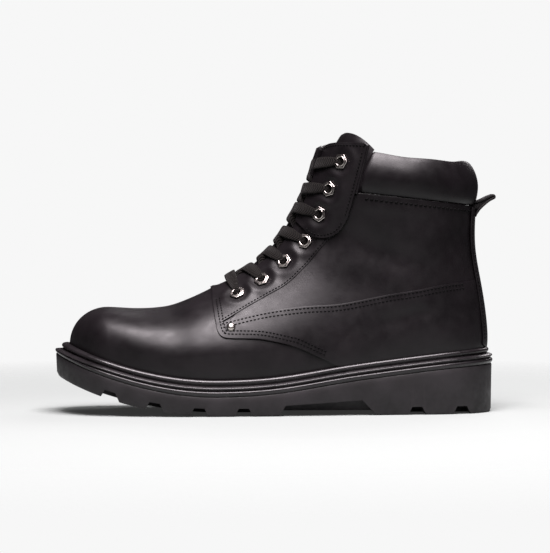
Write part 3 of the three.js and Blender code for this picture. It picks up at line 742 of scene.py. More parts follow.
def nickel(name):
    finish, tree, shader = new_finish(name, Metallic=1.0, Base_Color=(0.56, 0.52, 0.49, 1))
    place = object_place(tree)
    tree.links.new(between(tree, noise(tree, place, 420.0, 5.0), 0.16, 0.34), shader.inputs["Roughness"])
    bump(tree, shader, noise(tree, place, 900.0, 4.0), 0.12, 0.05)
    return finish


BLACK_LEATHER = leather("black_leather", (0.0044, 0.0035, 0.0042), (0.008, 0.0064, 0.0075), 0.34, 0.46, 0.6)
SOFT_LEATHER = leather("soft_leather", (0.0042, 0.0034, 0.004), (0.0075, 0.006, 0.0072), 0.33, 0.45, 0.5)
MIDSOLE_RUBBER = rubber("midsole_rubber", (0.0075, 0.0062, 0.0072), (0.015, 0.013, 0.0145), 0.25, 0.38, 0.46)
TREAD_RUBBER = rubber("tread_rubber", (0.009, 0.0075, 0.0085), (0.018, 0.0155, 0.0175), 0.5, 0.7)
# The braids' dark colour is painted shade in the grooves between the strands.
LACE_BRAID = woven("lace_braid", (0.0022, 0.0018, 0.0017), (0.016, 0.013, 0.0115), 0.55, 8.0, 0.6)
TAPE = woven("pull_tape", (0.006, 0.006, 0.006), (0.035, 0.032, 0.033), 0.8, 24.0, 0.25)
LINING_CLOTH = cloth("lining_cloth", (0.010, 0.010, 0.011), (0.05, 0.048, 0.05), 620.0)
FOOTBED_CLOTH = cloth("footbed_cloth", (0.012, 0.012, 0.013), (0.06, 0.058, 0.058), 800.0)
THREAD = rubber("thread", (0.002, 0.0018, 0.002), (0.006, 0.0055, 0.006), 0.62, 0.8, 0.08)
NICKEL = nickel("nickel")


# Upper

def eyelet_places(side):
    rows = []
    for x, z, on_patch in EYELETS:
        out = PATCH_TOP if on_patch else QUARTER_STEP
        t, phi = side_place(x, z, side, out)
        rows.append((float(t), float(phi), out))
    return rows


EYELET_PLACES = {side: eyelet_places(side) for side in SIDES.values()}
EYELET_CENTRES = np.array([
    skin_point(t, phi) for side in SIDES.values() for t, phi, out in EYELET_PLACES[side]])


def eyelet_dimples(t, phi):
    """Leather drawn down at each eyelet and swollen round it."""
    points = skin_point(t, phi)
    lift = np.zeros(len(points))
    for centre in EYELET_CENTRES:
        reach = np.linalg.norm(points - centre, axis=1)
        lift += 0.75 * np.exp(-((reach - 9.5) / 3.4) ** 2) - 0.35 * np.exp(-(reach / 5.5) ** 2)
    return lift


def creases(t, phi):
    """Soft troughs and ridges of the leather, listed in the side view."""
    points = skin_point(t, phi)
    inner = phi * SIDES["medial"] > 0
    x = points[:, 0] + np.where(inner, 4.0, 0.0)
    z = points[:, 2]
    lift = np.zeros(len(points))
    for from_x, from_z, to_x, to_z, half, height in CREASES:
        run_x = to_x - from_x
        run_z = to_z - from_z
        along = ((x - from_x) * run_x + (z - from_z) * run_z) / (run_x ** 2 + run_z ** 2)
        along = np.clip(along, 0, 1)
        gap = np.hypot(x - from_x - along * run_x, z - from_z - along * run_z)
        lift += height * np.exp(-(gap / half) ** 2)
    return lift * np.where(inner, 0.8, 1.0)


def leather_relief(t, phi):
    return eyelet_dimples(t, phi) + creases(t, phi)


def punch_eyelets(piece):
    """Removes the faces under the eyelets."""
    take(piece)
    centres = np.array([face.center for face in piece.data.polygons]) / MM
    gaps = np.min(np.linalg.norm(centres[:, None] - EYELET_CENTRES[None], axis=2), axis=1)
    bpy.ops.object.mode_set(mode="EDIT")
    bpy.ops.mesh.select_mode(type="FACE")
    bpy.ops.mesh.select_all(action="DESELECT")
    bpy.ops.object.mode_set(mode="OBJECT")
    piece.data.polygons.foreach_set("select", gaps < EYELET_PUNCH)
    bpy.ops.object.mode_set(mode="EDIT")
    bpy.ops.mesh.delete(type="FACE")
    bpy.ops.object.mode_set(mode="OBJECT")


def panel(name, edges, columns, rows, out, thickness, edge=0.3, relief=None, punched=False):
    """A piece of leather laid over the last between four edges."""
    places = patch_between(*edges)
    kept = {}

    def place(u, v):
        t, phi = places(u, v)
        kept["outward"] = skin_normal(t, phi)
        lift = np.full(len(u), float(out))
        if relief:
            lift = lift + relief(t, phi)
        return last_point(t, phi, lift)

    piece = fitted_grid(name, columns, rows, place)
    face_out(piece, kept["outward"])
    if punched:
        punch_eyelets(piece)
    thicken(piece, thickness, edge)
    smooth(piece)
    return piece


def front_edge(side):
    line = side_line(FRONT_EDGE, side)
    return np.concatenate([[(THROAT_TIP, 0.0)], line])


def straight(first, last, count=30):
    """A line of places between two places."""
    return np.linspace(np.asarray(first, float), np.asarray(last, float), count)


def foxing_top(side):
    seam = side_line(SEAM, side)
    phi = np.linspace(float(seam[-1, 1]), side * math.pi, 25)[1:]
    return np.concatenate([seam, level_line(phi, lambda x: 90.9 + (x - 128.5) * 0.12)])


def quarter_edges(side):
    """The middle panel, which runs in under the facing, the foxing and the patch."""
    bottom = shifted(foxing_top(side), -side * 5)
    bottom[-1, 1] = side * math.pi
    top = collar_seam_line(side)
    left = side_line(QUARTER_FRONT, side, UNDER_PANEL)
    left = np.concatenate([bottom[:1], left[6:-4], top[:1]])
    right = heel_line(side, bottom[-1, 0], top[-1, 0])
    return bottom, right, top, left


def lining_edges(side):
    seam = collar_seam_line(side)
    throat = throat_line(side, throat_place(side, LINING_TOP_Z))
    left = throat[throat[:, 0] > 5]
    feather = feather_run(side, 20)
    bottom = np.concatenate([straight(left[0], feather[0])[:-1], feather])
    top = np.concatenate([straight(left[-1], seam[0])[:-1], seam])
    right = heel_line(side, FEATHER_BACK, seam[-1, 0])
    return bottom, right, top, left


def facing_edges(side):
    edge = front_edge(side)
    heights = skin_point(edge[:, 0], edge[:, 1])[:, 2]
    bottom = edge[:int(np.argmax(heights < FACING_LOW_Z))]
    right = np.concatenate([bottom[-1:], side_line(EYESTAY, side)])
    left = throat_line(side, throat_place(side, FACING_TOP_Z))
    top = straight(left[-1], right[-1])
    return bottom, right, top, left


def foxing_edges(side):
    edge = front_edge(side)
    heights = skin_point(edge[:, 0], edge[:, 1])[:, 2]
    first = int(np.argmax(heights < FOXING_HIGH_Z))
    bottom = np.concatenate([edge[first:], feather_run(side, 46)])
    top = foxing_top(side)
    left = straight(bottom[0], top[0], 8)
    right = heel_line(side, FEATHER_BACK, top[-1, 0])
    return bottom, right, top, left


def patch_edges(side):
    low = throat_place(side, PATCH_FRONT_Z)
    high = throat_place(side, THROAT_TOP_Z - 6.5)
    whole = throat_line(side, high)
    left = whole[whole[:, 0] >= low]
    bottom = np.concatenate([left[:1], side_line(PATCH_BOTTOM, side, PATCH_TOP)])
    right = side_line(PATCH_REAR, side, PATCH_TOP)
    top = np.concatenate([left[-1:], side_line(PATCH_REAR_TOP, side, PATCH_TOP)])
    return bottom, right, top, left


def build_vamp():
    kept = {}

    def place(u, v):
        share = 2 * u - 1
        side = np.where(share < 0, -1.0, 1.0)
        end = 4.2 + 0.8 * smooth_step(0.1, 0.5, np.abs(share)) + 1.9 * smooth_step(0.6, 0.9, np.abs(share))
        t = FEATHER_FRONT + (end - FEATHER_FRONT) * v
        phi = feather_phi(t, side) * np.abs(share)
        kept["outward"] = skin_normal(t, phi)
        return last_point(t, phi, creases(t, phi))

    piece = fitted_grid("vamp", 150, 170, place)
    face_out(piece, kept["outward"])
    thicken(piece, WALL - 0.2, 0.3)
    smooth(piece)
    settle(piece, BLACK_LEATHER, "leather", "upper")


def build_quarters():
    for name, side in SIDES.items():
        middle = panel(
            f"quarter_{name}", quarter_edges(side), 170, 90,
            UNDER_PANEL, LEATHER_THICKNESS, 0.2, leather_relief, True)
        settle(middle, BLACK_LEATHER, "leather", "upper")
        linings = [
            panel(f"lining_{name}", lining_edges(side), 120, 80, -0.1, WALL - 0.1, 0.4, None, True),
            panel("lining_top", patch_edges(side), 40, 60, -0.05, WALL - 0.1, 0.4, None, True),
        ]
        settle(join(linings, f"lining_{name}"), LINING_CLOTH, "padding", "upper")
        facing = panel(
            f"facing_{name}", facing_edges(side), 70, 110,
            QUARTER_STEP, LEATHER_THICKNESS, 0.25, leather_relief, True)
        settle(facing, BLACK_LEATHER, "leather", "upper")
        foxing = panel(
            f"foxing_{name}", foxing_edges(side), 190, 50, QUARTER_STEP, LEATHER_THICKNESS, 0.25, creases)
        settle(foxing, BLACK_LEATHER, "leather", "upper")
        patch = panel(
            f"patch_{name}", patch_edges(side), 60, 90, PATCH_TOP, PATCH_THICKNESS, 0.4, leather_relief, True)
        settle(patch, BLACK_LEATHER, "leather", f"eyelet_patch_{name}")


def build_backstay():
    low = float(crossing(8.0, 12.0, lambda t: skin_point(t, math.pi)[..., 2] - BACKSTAY_LOW))
    high = float(crossing(12.0, 15.5, lambda t: skin_point(t, math.pi)[..., 2] - BACKSTAY_HIGH))
    kept = {}

    def place(u, v):
        across = (2 * u - 1) * BACKSTAY_HALF
        t = low + (high - low) * v
        phi = phi_behind(t, across)
        kept["outward"] = skin_normal(t, phi)
        crown = 0.25 * (1 - (across / BACKSTAY_HALF) ** 2)
        return last_point(t, phi, BACKSTAY_TOP + crown)

    piece = fitted_grid("backstay_strip", 40, 110, place)
    face_out(piece, kept["outward"])
    thicken(piece, 0.95, 0.3)
    smooth(piece)
    settle(piece, BLACK_LEATHER, "leather", "backstay")


# Padded pieces

# Rise from the seam to the top, height over the skin, and a depth that fades out at both ends
COLLAR_PROFILE = (
    (0, -0.6, 0), (0.04, 1.1, 0), (0.16, 2.5, 0), (0.38, 3.1, 0), (0.54, 2.7, 0), (0.68, 1.7, 0),
    (0.8, 0.3, 0), (0.9, -1.3, 0), (0.97, -2.8, 0), (1, -3.7, 0.2),
    (0.97, -4.2, 1.4), (0.85, -4.0, 2.6), (0.5, -3.6, 3.6), (0.2, -3.2, 3.0), (0.05, -2.2, 1.0),
)


# Place along the collar from 0 to 1, half width and height
COLLAR_SWELLS = (
    (0.14, 0.04, 0.4), (0.27, 0.05, -0.4), (0.42, 0.04, 0.35), (0.6, 0.05, -0.4), (0.72, 0.05, 0.4),
    (0.86, 0.05, -0.4),
)


def build_collar():
    profile = flowing(COLLAR_PROFILE, 4, closed=True)
    fronts = {
        side: [float(side_place(x, z, side, 0)[1]) for x, z in COLLAR_FRONT] for side in SIDES.values()}
    stations = 150

    def ring_points(rise, out, inside, along):
        start = -(fronts[-1][0] + (fronts[-1][1] - fronts[-1][0]) * rise)
        finish = 2 * math.pi - (fronts[1][0] + (fronts[1][1] - fronts[1][0]) * rise)
        phi = -(start + (finish - start) * along)

        def over(t):
            points = skin_point(t, phi)
            top = collar_top(points[:, 0]) + 2.2 * np.exp(-((points[:, 0] - 133) / 7) ** 2)
            low = seam_height(points[:, 0])
            return points[:, 2] - (low + (top - low) * rise)

        t = crossing(np.full(phi.shape, 9.0), np.full(phi.shape, 16.0), over)
        taper = smooth_step(0, 0.16, along) * smooth_step(0, 0.16, 1 - along)
        for spot, half, height in COLLAR_SWELLS:
            out = out + height * np.exp(-((along - spot) / half) ** 2) * np.sin(math.pi * rise)
        return last_point(t, phi, out - inside * taper)

    def place(u, v):
        row = np.rint(u * len(profile)).astype(int) % len(profile)
        rise, out, inside = profile[row].T
        ends = 0.012
        held = np.clip(v, ends * 0.05, 1 - ends * 0.05)
        points = ring_points(rise, out, inside, held)
        middle = ring_points(np.full(len(u), 0.5), np.full(len(u), -0.6), np.full(len(u), 1.0), held)
        near = np.clip(np.minimum(v, 1 - v) / ends, 0, 1)
        full = np.sqrt(1 - (1 - near) ** 2)
        return middle + (points - middle) * full[:, None]

    piece = fitted_grid("padded_collar", len(profile), stations, place)
    close_seams(piece)
    smooth(piece, 60)
    settle(piece, SOFT_LEATHER, "padding", "collar")


def build_tongue():
    around = 60
    along_steps = 90
    first = 4.15
    last = 15.0

    def place(u, v):
        turn = 2 * u
        share = np.where(turn <= 1, 2 * turn - 1, 3 - 2 * turn)
        under = np.where((turn > 1), 1.0, 0.0)
        edge = np.sqrt(np.maximum(1 - np.abs(share) ** 6, 0))
        end = last - 0.7 * np.abs(share) ** 3
        t = first + (end - first) * v
        spread = np.radians(36 + 30 * v ** 2)
        sunk = TONGUE_DEPTH + 6 * smooth_step(12.5, 15, t)
        swell = (1 - smooth_step(0.1, 0.5, np.abs(share))) * (1 - smooth_step(13.6, 14.8, t))
        swell = swell * smooth_step(4.3, 5.5, t)
        pad = TONGUE_THICKNESS - 4.5 * np.abs(share) ** 3
        near = np.clip(np.minimum(v / 0.02, (1 - v) / 0.035), 0, 1)
        full = np.sqrt(1 - (1 - near) ** 2) * edge
        depth = sunk + pad / 2 + np.where(under > 0, 0.5, -0.5) * pad * full
        return last_point(t, share * spread, np.where(under > 0, 0.0, TONGUE_SWELL) * swell - depth)

    piece = fitted_grid("padded_tongue", around, along_steps, place)
    close_seams(piece)
    smooth(piece, 60)
    settle(piece, SOFT_LEATHER, "padding", "tongue")


# Sole

def feather_ring(points_a_side):
    halves = []
    for side in SIDES.values():
        spread = (1 - np.cos(np.linspace(0, math.pi, 1500))) / 2
        t = FEATHER_FRONT + (FEATHER_BACK - FEATHER_FRONT) * spread ** 1.5
        points = skin_point(t, feather_phi(t, side))
        halves.append(even_line(points[:, :2], points_a_side + 1))
    return np.concatenate([halves[0][:-1], halves[1][:0:-1]])


FEATHER = feather_ring(150)
FEATHER_RUN = np.roll(FEATHER, -1, axis=0) - np.roll(FEATHER, 1, axis=0)
FEATHER_OUT = unit(np.stack([FEATHER_RUN[:, 1], -FEATHER_RUN[:, 0]], -1))


def sole_ring(depth, share, extra, floor_height=None):
    """Ring round the sole at a depth under the bead top, or at a height over the sprung floor."""
    reach = share * sole_margin(FEATHER[:, 0]) + extra
    plan = FEATHER + FEATHER_OUT * reach[:, None]
    if floor_height is not None:
        height = floor_height + toe_spring(plan[:, 0])
        return np.concatenate([plan, height[:, None]], 1)
    sprung = FEATHER[:, 0] + (plan[:, 0] - FEATHER[:, 0]) * smooth_step(3, 11, depth)
    height = bead_top(plan[:, 0]) - depth + toe_spring(sprung)
    return np.concatenate([plan, height[:, None]], 1)


def ring_body(name, rings):
    """A closed body through rings, its ends filled from side to side."""
    rings = np.array(rings)
    count = rings.shape[1]
    half = count // 2

    def wall(u, v):
        return rings[np.rint(v * (len(rings) - 1)).astype(int), np.rint(u * count).astype(int) % count]

    def end(ring):
        def place(u, v):
            i = np.rint(u * half).astype(int)
            return ring[i] * (1 - v)[:, None] + ring[(count - i) % count] * v[:, None]

        return place

    pieces = [
        fitted_grid(name, count, len(rings) - 1, wall),
        fitted_grid("end", half, 6, end(rings[0])),
        fitted_grid("end", half, 6, end(rings[-1])),
    ]
    body = join(pieces, name)
    close_seams(body)
    return body


def build_midsole():
    rows = flowing(MIDSOLE_PROFILE, 4)
    rows[:, 1] = np.clip(rows[:, 1], 0, 1)
    piece = ring_body("ribbed_midsole", [sole_ring(*row) for row in rows])
    smooth(piece, 50)
    settle(piece, MIDSOLE_RUBBER, "rubber", "midsole")


def prism(corners, from_y, to_y, cuts=0):
    """A block with four corners in the side view, lifted by the toe spring, for cutting."""
    deselect()
    bpy.ops.mesh.primitive_cube_add(size=2)
    block = bpy.context.object
    if cuts:
        bpy.ops.object.mode_set(mode="EDIT")
        bpy.ops.mesh.select_all(action="SELECT")
        bpy.ops.mesh.subdivide(number_cuts=cuts)
        bpy.ops.object.mode_set(mode="OBJECT")
    flat = (get_points(block) * MM + 1) / 2
    low_x = corners[0][0] + (corners[1][0] - corners[0][0]) * flat[:, 0]
    high_x = corners[2][0] + (corners[3][0] - corners[2][0]) * flat[:, 0]
    low_z = corners[0][1] + (corners[1][1] - corners[0][1]) * flat[:, 0]
    high_z = corners[2][1] + (corners[3][1] - corners[2][1]) * flat[:, 0]
    x = low_x + (high_x - low_x) * flat[:, 2]
    z = low_z + (high_z - low_z) * flat[:, 2]
    y = from_y + (to_y - from_y) * flat[:, 1]
    set_points(block, np.stack([x, y, z + toe_spring(x)], -1))
    return block


def notch(x, from_y, to_y):
    low = NOTCH_BOTTOM / 2 + 2
    high = NOTCH_ROOF / 2
    corners = ((x - low, -4), (x + low, -4), (x - high, NOTCH_DEPTH), (x + high, NOTCH_DEPTH))
    return prism(corners, from_y, to_y)


def channel(from_x, to_x, side):
    from_y, to_y = sorted((side * CHANNEL_INNER, side * CHANNEL_OUTER))
    corners = ((from_x, -4), (to_x, -4), (from_x, CHANNEL_DEPTH), (to_x, CHANNEL_DEPTH))
    return prism(corners, from_y, to_y, 12)


def waist_cut(low_roof, high_roof, from_y, to_y):
    front = 0.4 + 4.1 / 7.3 * low_roof
    back = 67.3 - 9.8 / 10.5 * high_roof
    return prism(((-1.85, -4), (71.0, -4), (front, low_roof), (back, high_roof)), from_y, to_y)


def cut(piece, cutter):
    apply_modifier(piece, "BOOLEAN", operation="DIFFERENCE", solver="EXACT", object=cutter)
    bpy.data.objects.remove(cutter)


def build_outsole():
    rings = [
        sole_ring(OUTSOLE_TOP, 1, -0.4), sole_ring(OUTSOLE_TOP + 0.9, 1, 0),
        sole_ring(OUTSOLE_TOP + 4, 1, -0.1), sole_ring(0, 1, -0.5, 2), sole_ring(0, 1, -1.6, 0),
    ]
    piece = ring_body("lugged_outsole", rings)
    inner = CHANNEL_OUTER - 0.5
    for x in FORE_NOTCHES + HEEL_NOTCHES:
        cut(piece, notch(x, -FAR, -inner))
        cut(piece, notch(x, inner, FAR))
    for row in (FORE_NOTCHES, HEEL_NOTCHES):
        for before, after in zip(row, row[1:]):
            cut(piece, notch((before + after) / 2, -CHANNEL_INNER - 0.5, CHANNEL_INNER + 0.5))
    for side in SIDES.values():
        cut(piece, channel(*FORE_CHANNEL, side))
        cut(piece, channel(*HEEL_CHANNEL, side))
    cut(piece, waist_cut(3, 3, -FAR, FAR))
    cut(piece, waist_cut(7.3, 10.5, -FAR, -34))
    cut(piece, waist_cut(7.3, 10.5, 29, FAR))
    round_edges(piece, 0.65, 2, 35)
    smooth(piece, 35)
    settle(piece, TREAD_RUBBER, "rubber", "outsole")


def build_insole():
    bottom = SEAT_DEPTH - 0.3
    top = bottom - INSOLE_THICKNESS
    rows = (
        (bottom, 0, -INSOLE_INSET - 0.6), (bottom - 0.4, 0, -INSOLE_INSET), (top + 1.0, 0, -INSOLE_INSET),
        (top + 0.3, 0, -INSOLE_INSET - 0.4), (top, 0, -INSOLE_INSET - 1.4),
    )
    piece = ring_body("footbed", [sole_ring(*row) for row in flowing(rows, 3)])
    smooth(piece, 50)
    settle(piece, FOOTBED_CLOTH, "footbed", "insole")


# Laces

def strand_end(row):
    t, phi, out = row
    across = float(skin_point(t, phi)[1] - section(t)["crest"])
    return t, across, out + EYELET_STANDOFF + 1.2


def lace_through(name, stops, widths):
    """A flat lace through stops of t, distance across and height over the skin."""
    stops = np.array(stops)
    t = stops[:, 0]
    phi = phi_across(t, stops[:, 1])
    points = last_point(t, phi, stops[:, 2])
    path = even_line(flowing(points, 12), 70)
    lengths = np.concatenate([[0], np.cumsum(np.linalg.norm(np.diff(points, axis=0), axis=1))])
    spots = np.linspace(0, lengths[-1], len(path))
    normals = skin_normal(np.interp(spots, lengths, t), np.interp(spots, lengths, phi))
    wide = np.interp(spots, lengths, widths)
    thick = LACE_THICKNESS * np.clip(LACE_WIDTH / wide, 1, 1.5)
    return tube(name, path, normals, wide, thick, 18, 0.6)


def crossing_strand(lower, upper, side):
    t_end, across_end, out_end = strand_end(EYELET_PLACES[side][upper])
    t_low = EYELET_PLACES[-side][lower][0]
    t_start = t_low + (t_end - t_low) * STRAND_START
    gap = float(throat_half(t_end))
    start = -side * (float(throat_half(t_start)) - 3)
    beside = across_end - side * 5.0
    stops = [
        (start - side * 4.5, -3.0), (start, -1.2), (start * 0.55, 1.3), (side * gap * 0.45, 1.5),
        (side * (gap - 2), out_end), ((beside + side * gap) / 2, out_end + 0.2), (beside, out_end),
        (across_end - side * 1.6, out_end - 0.7), (across_end - side * 0.4, out_end - 3.6),
        (across_end, out_end - 6.5),
    ]
    widths = [6.5, LACE_WIDTH, 8.2, 8.2, 8.2, 8.0, 7.0, 5.2, 4.2, 3.8]
    rows = []
    for across, out in stops:
        share = (across - start) / (across_end - start)
        rows.append((t_start + (t_end - t_start) * share, across, out))
    return lace_through("strand", rows, widths)


def build_laces():
    for upper in range(len(EYELETS) - 1):
        strands = [crossing_strand(upper + 1, upper, side) for side in SIDES.values()]
        piece = join(strands, f"lace_crossing_{upper + 1}")
        smooth(piece, 60)
        settle(piece, LACE_BRAID, "braid", f"lace_cross_{upper + 1}")
    left = strand_end(EYELET_PLACES[-1][-1])
    right = strand_end(EYELET_PLACES[1][-1])
    ends = np.array([-6.5, -3.6, -0.7, 0.0, 0.3])
    dip = np.concatenate([ends, np.full(3, 0.3), ends[::-1]])
    rows = []
    spots = np.concatenate([[0, 0.01, 0.05, 0.13, 0.25], [0.37, 0.5, 0.63], [0.75, 0.87, 0.95, 0.99, 1]])
    for share, lower in zip(spots, dip):
        t = left[0] + (right[0] - left[0]) * share - BAR_DROP * math.sin(math.pi * share)
        rows.append((t, left[1] + (right[1] - left[1]) * share, left[2] + lower))
    widths = [3.6, 3.8, 4.8, 6.4, 8.0, 8.4, 8.4, 8.4, 8.0, 6.4, 4.8, 3.8, 3.6]
    bar = lace_through("lace_first_bar", rows, widths)
    smooth(bar, 60)
    settle(bar, LACE_BRAID, "braid", "lace_bar")


# Metal

def model_eyelet():
    """One eyelet round the Z axis: a six-sided flange, a rolled rim and a barrel."""
    deselect()
    bpy.ops.mesh.primitive_cylinder_add(
        vertices=6, radius=EYELET_FLANGE * MM, depth=1.0 * MM, location=(0, 0, 0.85 * MM))
    flange = bpy.context.object
    deselect()
    bpy.ops.mesh.primitive_cylinder_add(vertices=40, radius=EYELET_HOLE * MM, depth=6 * MM)
    cut(flange, bpy.context.object)
    round_edges(flange, 0.38, 3, 40)
    deselect()
    bpy.ops.mesh.primitive_torus_add(
        major_radius=3.25 * MM, minor_radius=0.45 * MM, major_segments=40, minor_segments=12,
        location=(0, 0, 1.3 * MM))
    rim = bpy.context.object
    deselect()
    bpy.ops.mesh.primitive_cylinder_add(
        vertices=40, radius=3.15 * MM, depth=3.6 * MM, end_fill_type="NOTHING", location=(0, 0, -0.6 * MM))
    barrel = bpy.context.object
    apply_modifier(barrel, "SOLIDIFY", thickness=0.35 * MM, offset=-1)
    for piece in (flange, rim, barrel):
        take(piece)
        bpy.ops.object.transform_apply(location=True, rotation=True, scale=True)
    return join([flange, rim, barrel], "eyelet_model")


def model_rivet():
    """One domed rivet round the Z axis."""
    deselect()
    bpy.ops.mesh.primitive_uv_sphere_add(segments=36, ring_count=18, radius=RIVET_RADIUS * MM)
    dome = bpy.context.object
    bpy.ops.object.mode_set(mode="EDIT")
    bpy.ops.mesh.select_all(action="SELECT")
    bpy.ops.mesh.bisect(plane_co=(0, 0, 0), plane_no=(0, 0, 1), use_fill=True, clear_inner=True)
    bpy.ops.mesh.select_all(action="SELECT")
    bpy.ops.transform.resize(value=(1, 1, 0.62))
    bpy.ops.object.mode_set(mode="OBJECT")
    deselect()
    bpy.ops.mesh.primitive_torus_add(
        major_radius=2.75 * MM, minor_radius=0.42 * MM, major_segments=36, minor_segments=10,
        location=(0, 0, 0.1 * MM))
    rim = bpy.context.object
    take(rim)
    bpy.ops.object.transform_apply(location=True, rotation=True, scale=True)
    return join([dome, rim], "rivet_model")


def stand_on(model, name, t, phi, out, turn):
    """A copy of a model, with its own mesh, standing on the leather."""
    copy = model.copy()
    copy.data = model.data.copy()
    copy.name = name
    copy.data.name = name
    bpy.context.collection.objects.link(copy)
    normal = skin_normal(t, phi)
    upward = unit(np.array([0, 0, 1.0]) - normal * normal[2])
    sideways = np.cross(upward, normal)
    first = sideways * math.cos(turn) + upward * math.sin(turn)
    second = upward * math.cos(turn) - sideways * math.sin(turn)
    points = get_points(copy)
    base = last_point(t, phi, out)
    set_points(copy, base + points[:, :1] * first + points[:, 1:2] * second + points[:, 2:] * normal)
    smooth(copy, 35)
    return copy


def build_metal():
    model = model_eyelet()
    for name, side in SIDES.items():
        for i, (t, phi, out) in enumerate(EYELET_PLACES[side]):
            piece = stand_on(model, f"hex_eyelet_{name}_{i + 1}", t, phi, out, 0.5 + 0.3 * i)
            settle(piece, NICKEL, "nickel", f"eyelet_{name}_{i + 1}")
    bpy.data.objects.remove(model)
    rivet = model_rivet()
    for name, side in SIDES.items():
        t, phi = side_place(RIVET[0], RIVET[1], side, QUARTER_STEP)
        piece = stand_on(rivet, f"domed_rivet_{name}", float(t), float(phi), QUARTER_STEP + 0.25, 0)
        settle(piece, NICKEL, "nickel", f"rivet_{name}")
    bpy.data.objects.remove(rivet)


# Pull loop, piping and stitches

def tape_strip(line, width, thickness):
    """A strip across the back of the boot, along a line of x and z."""
    path = np.stack([line[:, 0], np.zeros(len(line)), line[:, 1]], -1)
    across = unit(np.gradient(path, axis=0))
    normals = np.stack([-across[:, 2], np.zeros(len(line)), across[:, 0]], -1)
    return tube("pull_tape", path, normals, width, thickness, 40, 0.3)


def build_pull_loop():
    """A strip of tape folded over on itself, with a core between its two layers."""
    run = unit(np.array(PULL_TIP) - np.array(PULL_ROOT))
    lift = np.array([-run[1], run[0]])
    gap = 1.05
    turn = np.linspace(-math.pi / 2, math.pi / 2, 9)
    fold = [PULL_TIP + run * math.cos(a) * gap + lift * math.sin(a) * gap for a in turn]
    line = even_line(flowing(np.array([*PULL_UNDER, *fold, *PULL_OVER]), 8), 90)
    strip = tape_strip(line, PULL_WIDTH, 1.75 - 1.3 * (1 - smooth_step(0, 0.14, np.linspace(0, 1, 90))))
    filling = even_line(flowing(np.array(PULL_CORE), 8), 40)
    core = tape_strip(filling, PULL_WIDTH - 2, np.linspace(5.6, 1.2, 40))
    piece = join([strip, core], "pull_tape")
    smooth(piece, 60)
    settle(piece, TAPE, "braid", "pull_loop")


def build_piping():
    pieces = []
    for side in SIDES.values():
        line = side_line(PIPING, side, PATCH_TOP, 12)
        path = even_line(last_point(line[:, 0], line[:, 1], np.full(len(line), PIPING_HEIGHT)), 60)
        straight_run = np.linspace(line[0], line[-1], 60)
        normals = skin_normal(straight_run[:, 0], straight_run[:, 1])
        pieces.append(tube("piping", path, normals, PIPING_WIDTH, PIPING_WIDTH, 12, 1.0))
    piece = join(pieces, "patch_piping")
    smooth(piece, 60)
    settle(piece, BLACK_LEATHER, "leather")


def stitch_shape():
    """Points and faces of one stitch, 1 long and 2 wide, with its ends sunk."""
    rings = ((-0.5, -0.9, 0.35), (-0.36, 0.0, 0.85), (0.0, 0.35, 1.0), (0.36, 0.0, 0.85), (0.5, -0.9, 0.35))
    sides = 6
    points = []
    for along, lift, size in rings:
        for i in range(sides):
            turn = 2 * math.pi * i / sides
            points.append((along, math.cos(turn) * size, lift + math.sin(turn) * size))
    faces = []
    for ring in range(len(rings) - 1):
        for i in range(sides):
            after = (i + 1) % sides
            low = ring * sides
            faces.append((low + i, low + after, low + sides + after, low + sides + i))
    faces.append(tuple(range(sides))[::-1])
    faces.append(tuple(range((len(rings) - 1) * sides, len(rings) * sides)))
    return np.array(points), faces


def stitches_along(line, out, pitch, length, radius, skew=0.0):
    """Points of a row of stitches laid along a line on the skin."""
    shape = stitch_shape()[0]
    points = last_point(line[:, 0], line[:, 1], np.full(len(line), float(out)))
    lengths = np.concatenate([[0], np.cumsum(np.linalg.norm(np.diff(points, axis=0), axis=1))])
    spots = np.arange(pitch / 2, lengths[-1], pitch)
    t = np.interp(spots, lengths, line[:, 0])
    phi = np.interp(spots, lengths, line[:, 1])
    centre = last_point(t, phi, out + leather_relief(t, phi))
    normal = skin_normal(t, phi)
    run = np.stack([np.interp(spots, lengths, np.gradient(points[:, i])) for i in range(3)], -1)
    run = unit(run - normal * np.sum(run * normal, axis=1, keepdims=True))
    side = np.cross(normal, run)
    run, side = run * math.cos(skew) + side * math.sin(skew), side * math.cos(skew) - run * math.sin(skew)
    grown = shape * (length, radius, radius)
    placed = (centre[:, None] + grown[None, :, :1] * run[:, None] + grown[None, :, 1:2] * side[:, None]
              + grown[None, :, 2:] * normal[:, None])
    return placed


def stitch_mesh(name, rows):
    """One mesh of many rows of stitches."""
    shape, faces = stitch_shape()
    points = np.concatenate(rows).reshape(-1, 3)
    count = len(points) // len(shape)
    all_faces = [tuple(corner + i * len(shape) for corner in face) for i in range(count) for face in faces]
    mesh = bpy.data.meshes.new(name)
    mesh.from_pydata((points * MM).tolist(), [], all_faces)
    mesh.uv_layers.new(name="UVMap")
    piece = bpy.data.objects.new(name, mesh)
    bpy.context.collection.objects.link(piece)
    close_seams(piece)
    smooth(piece, 70)
    return piece


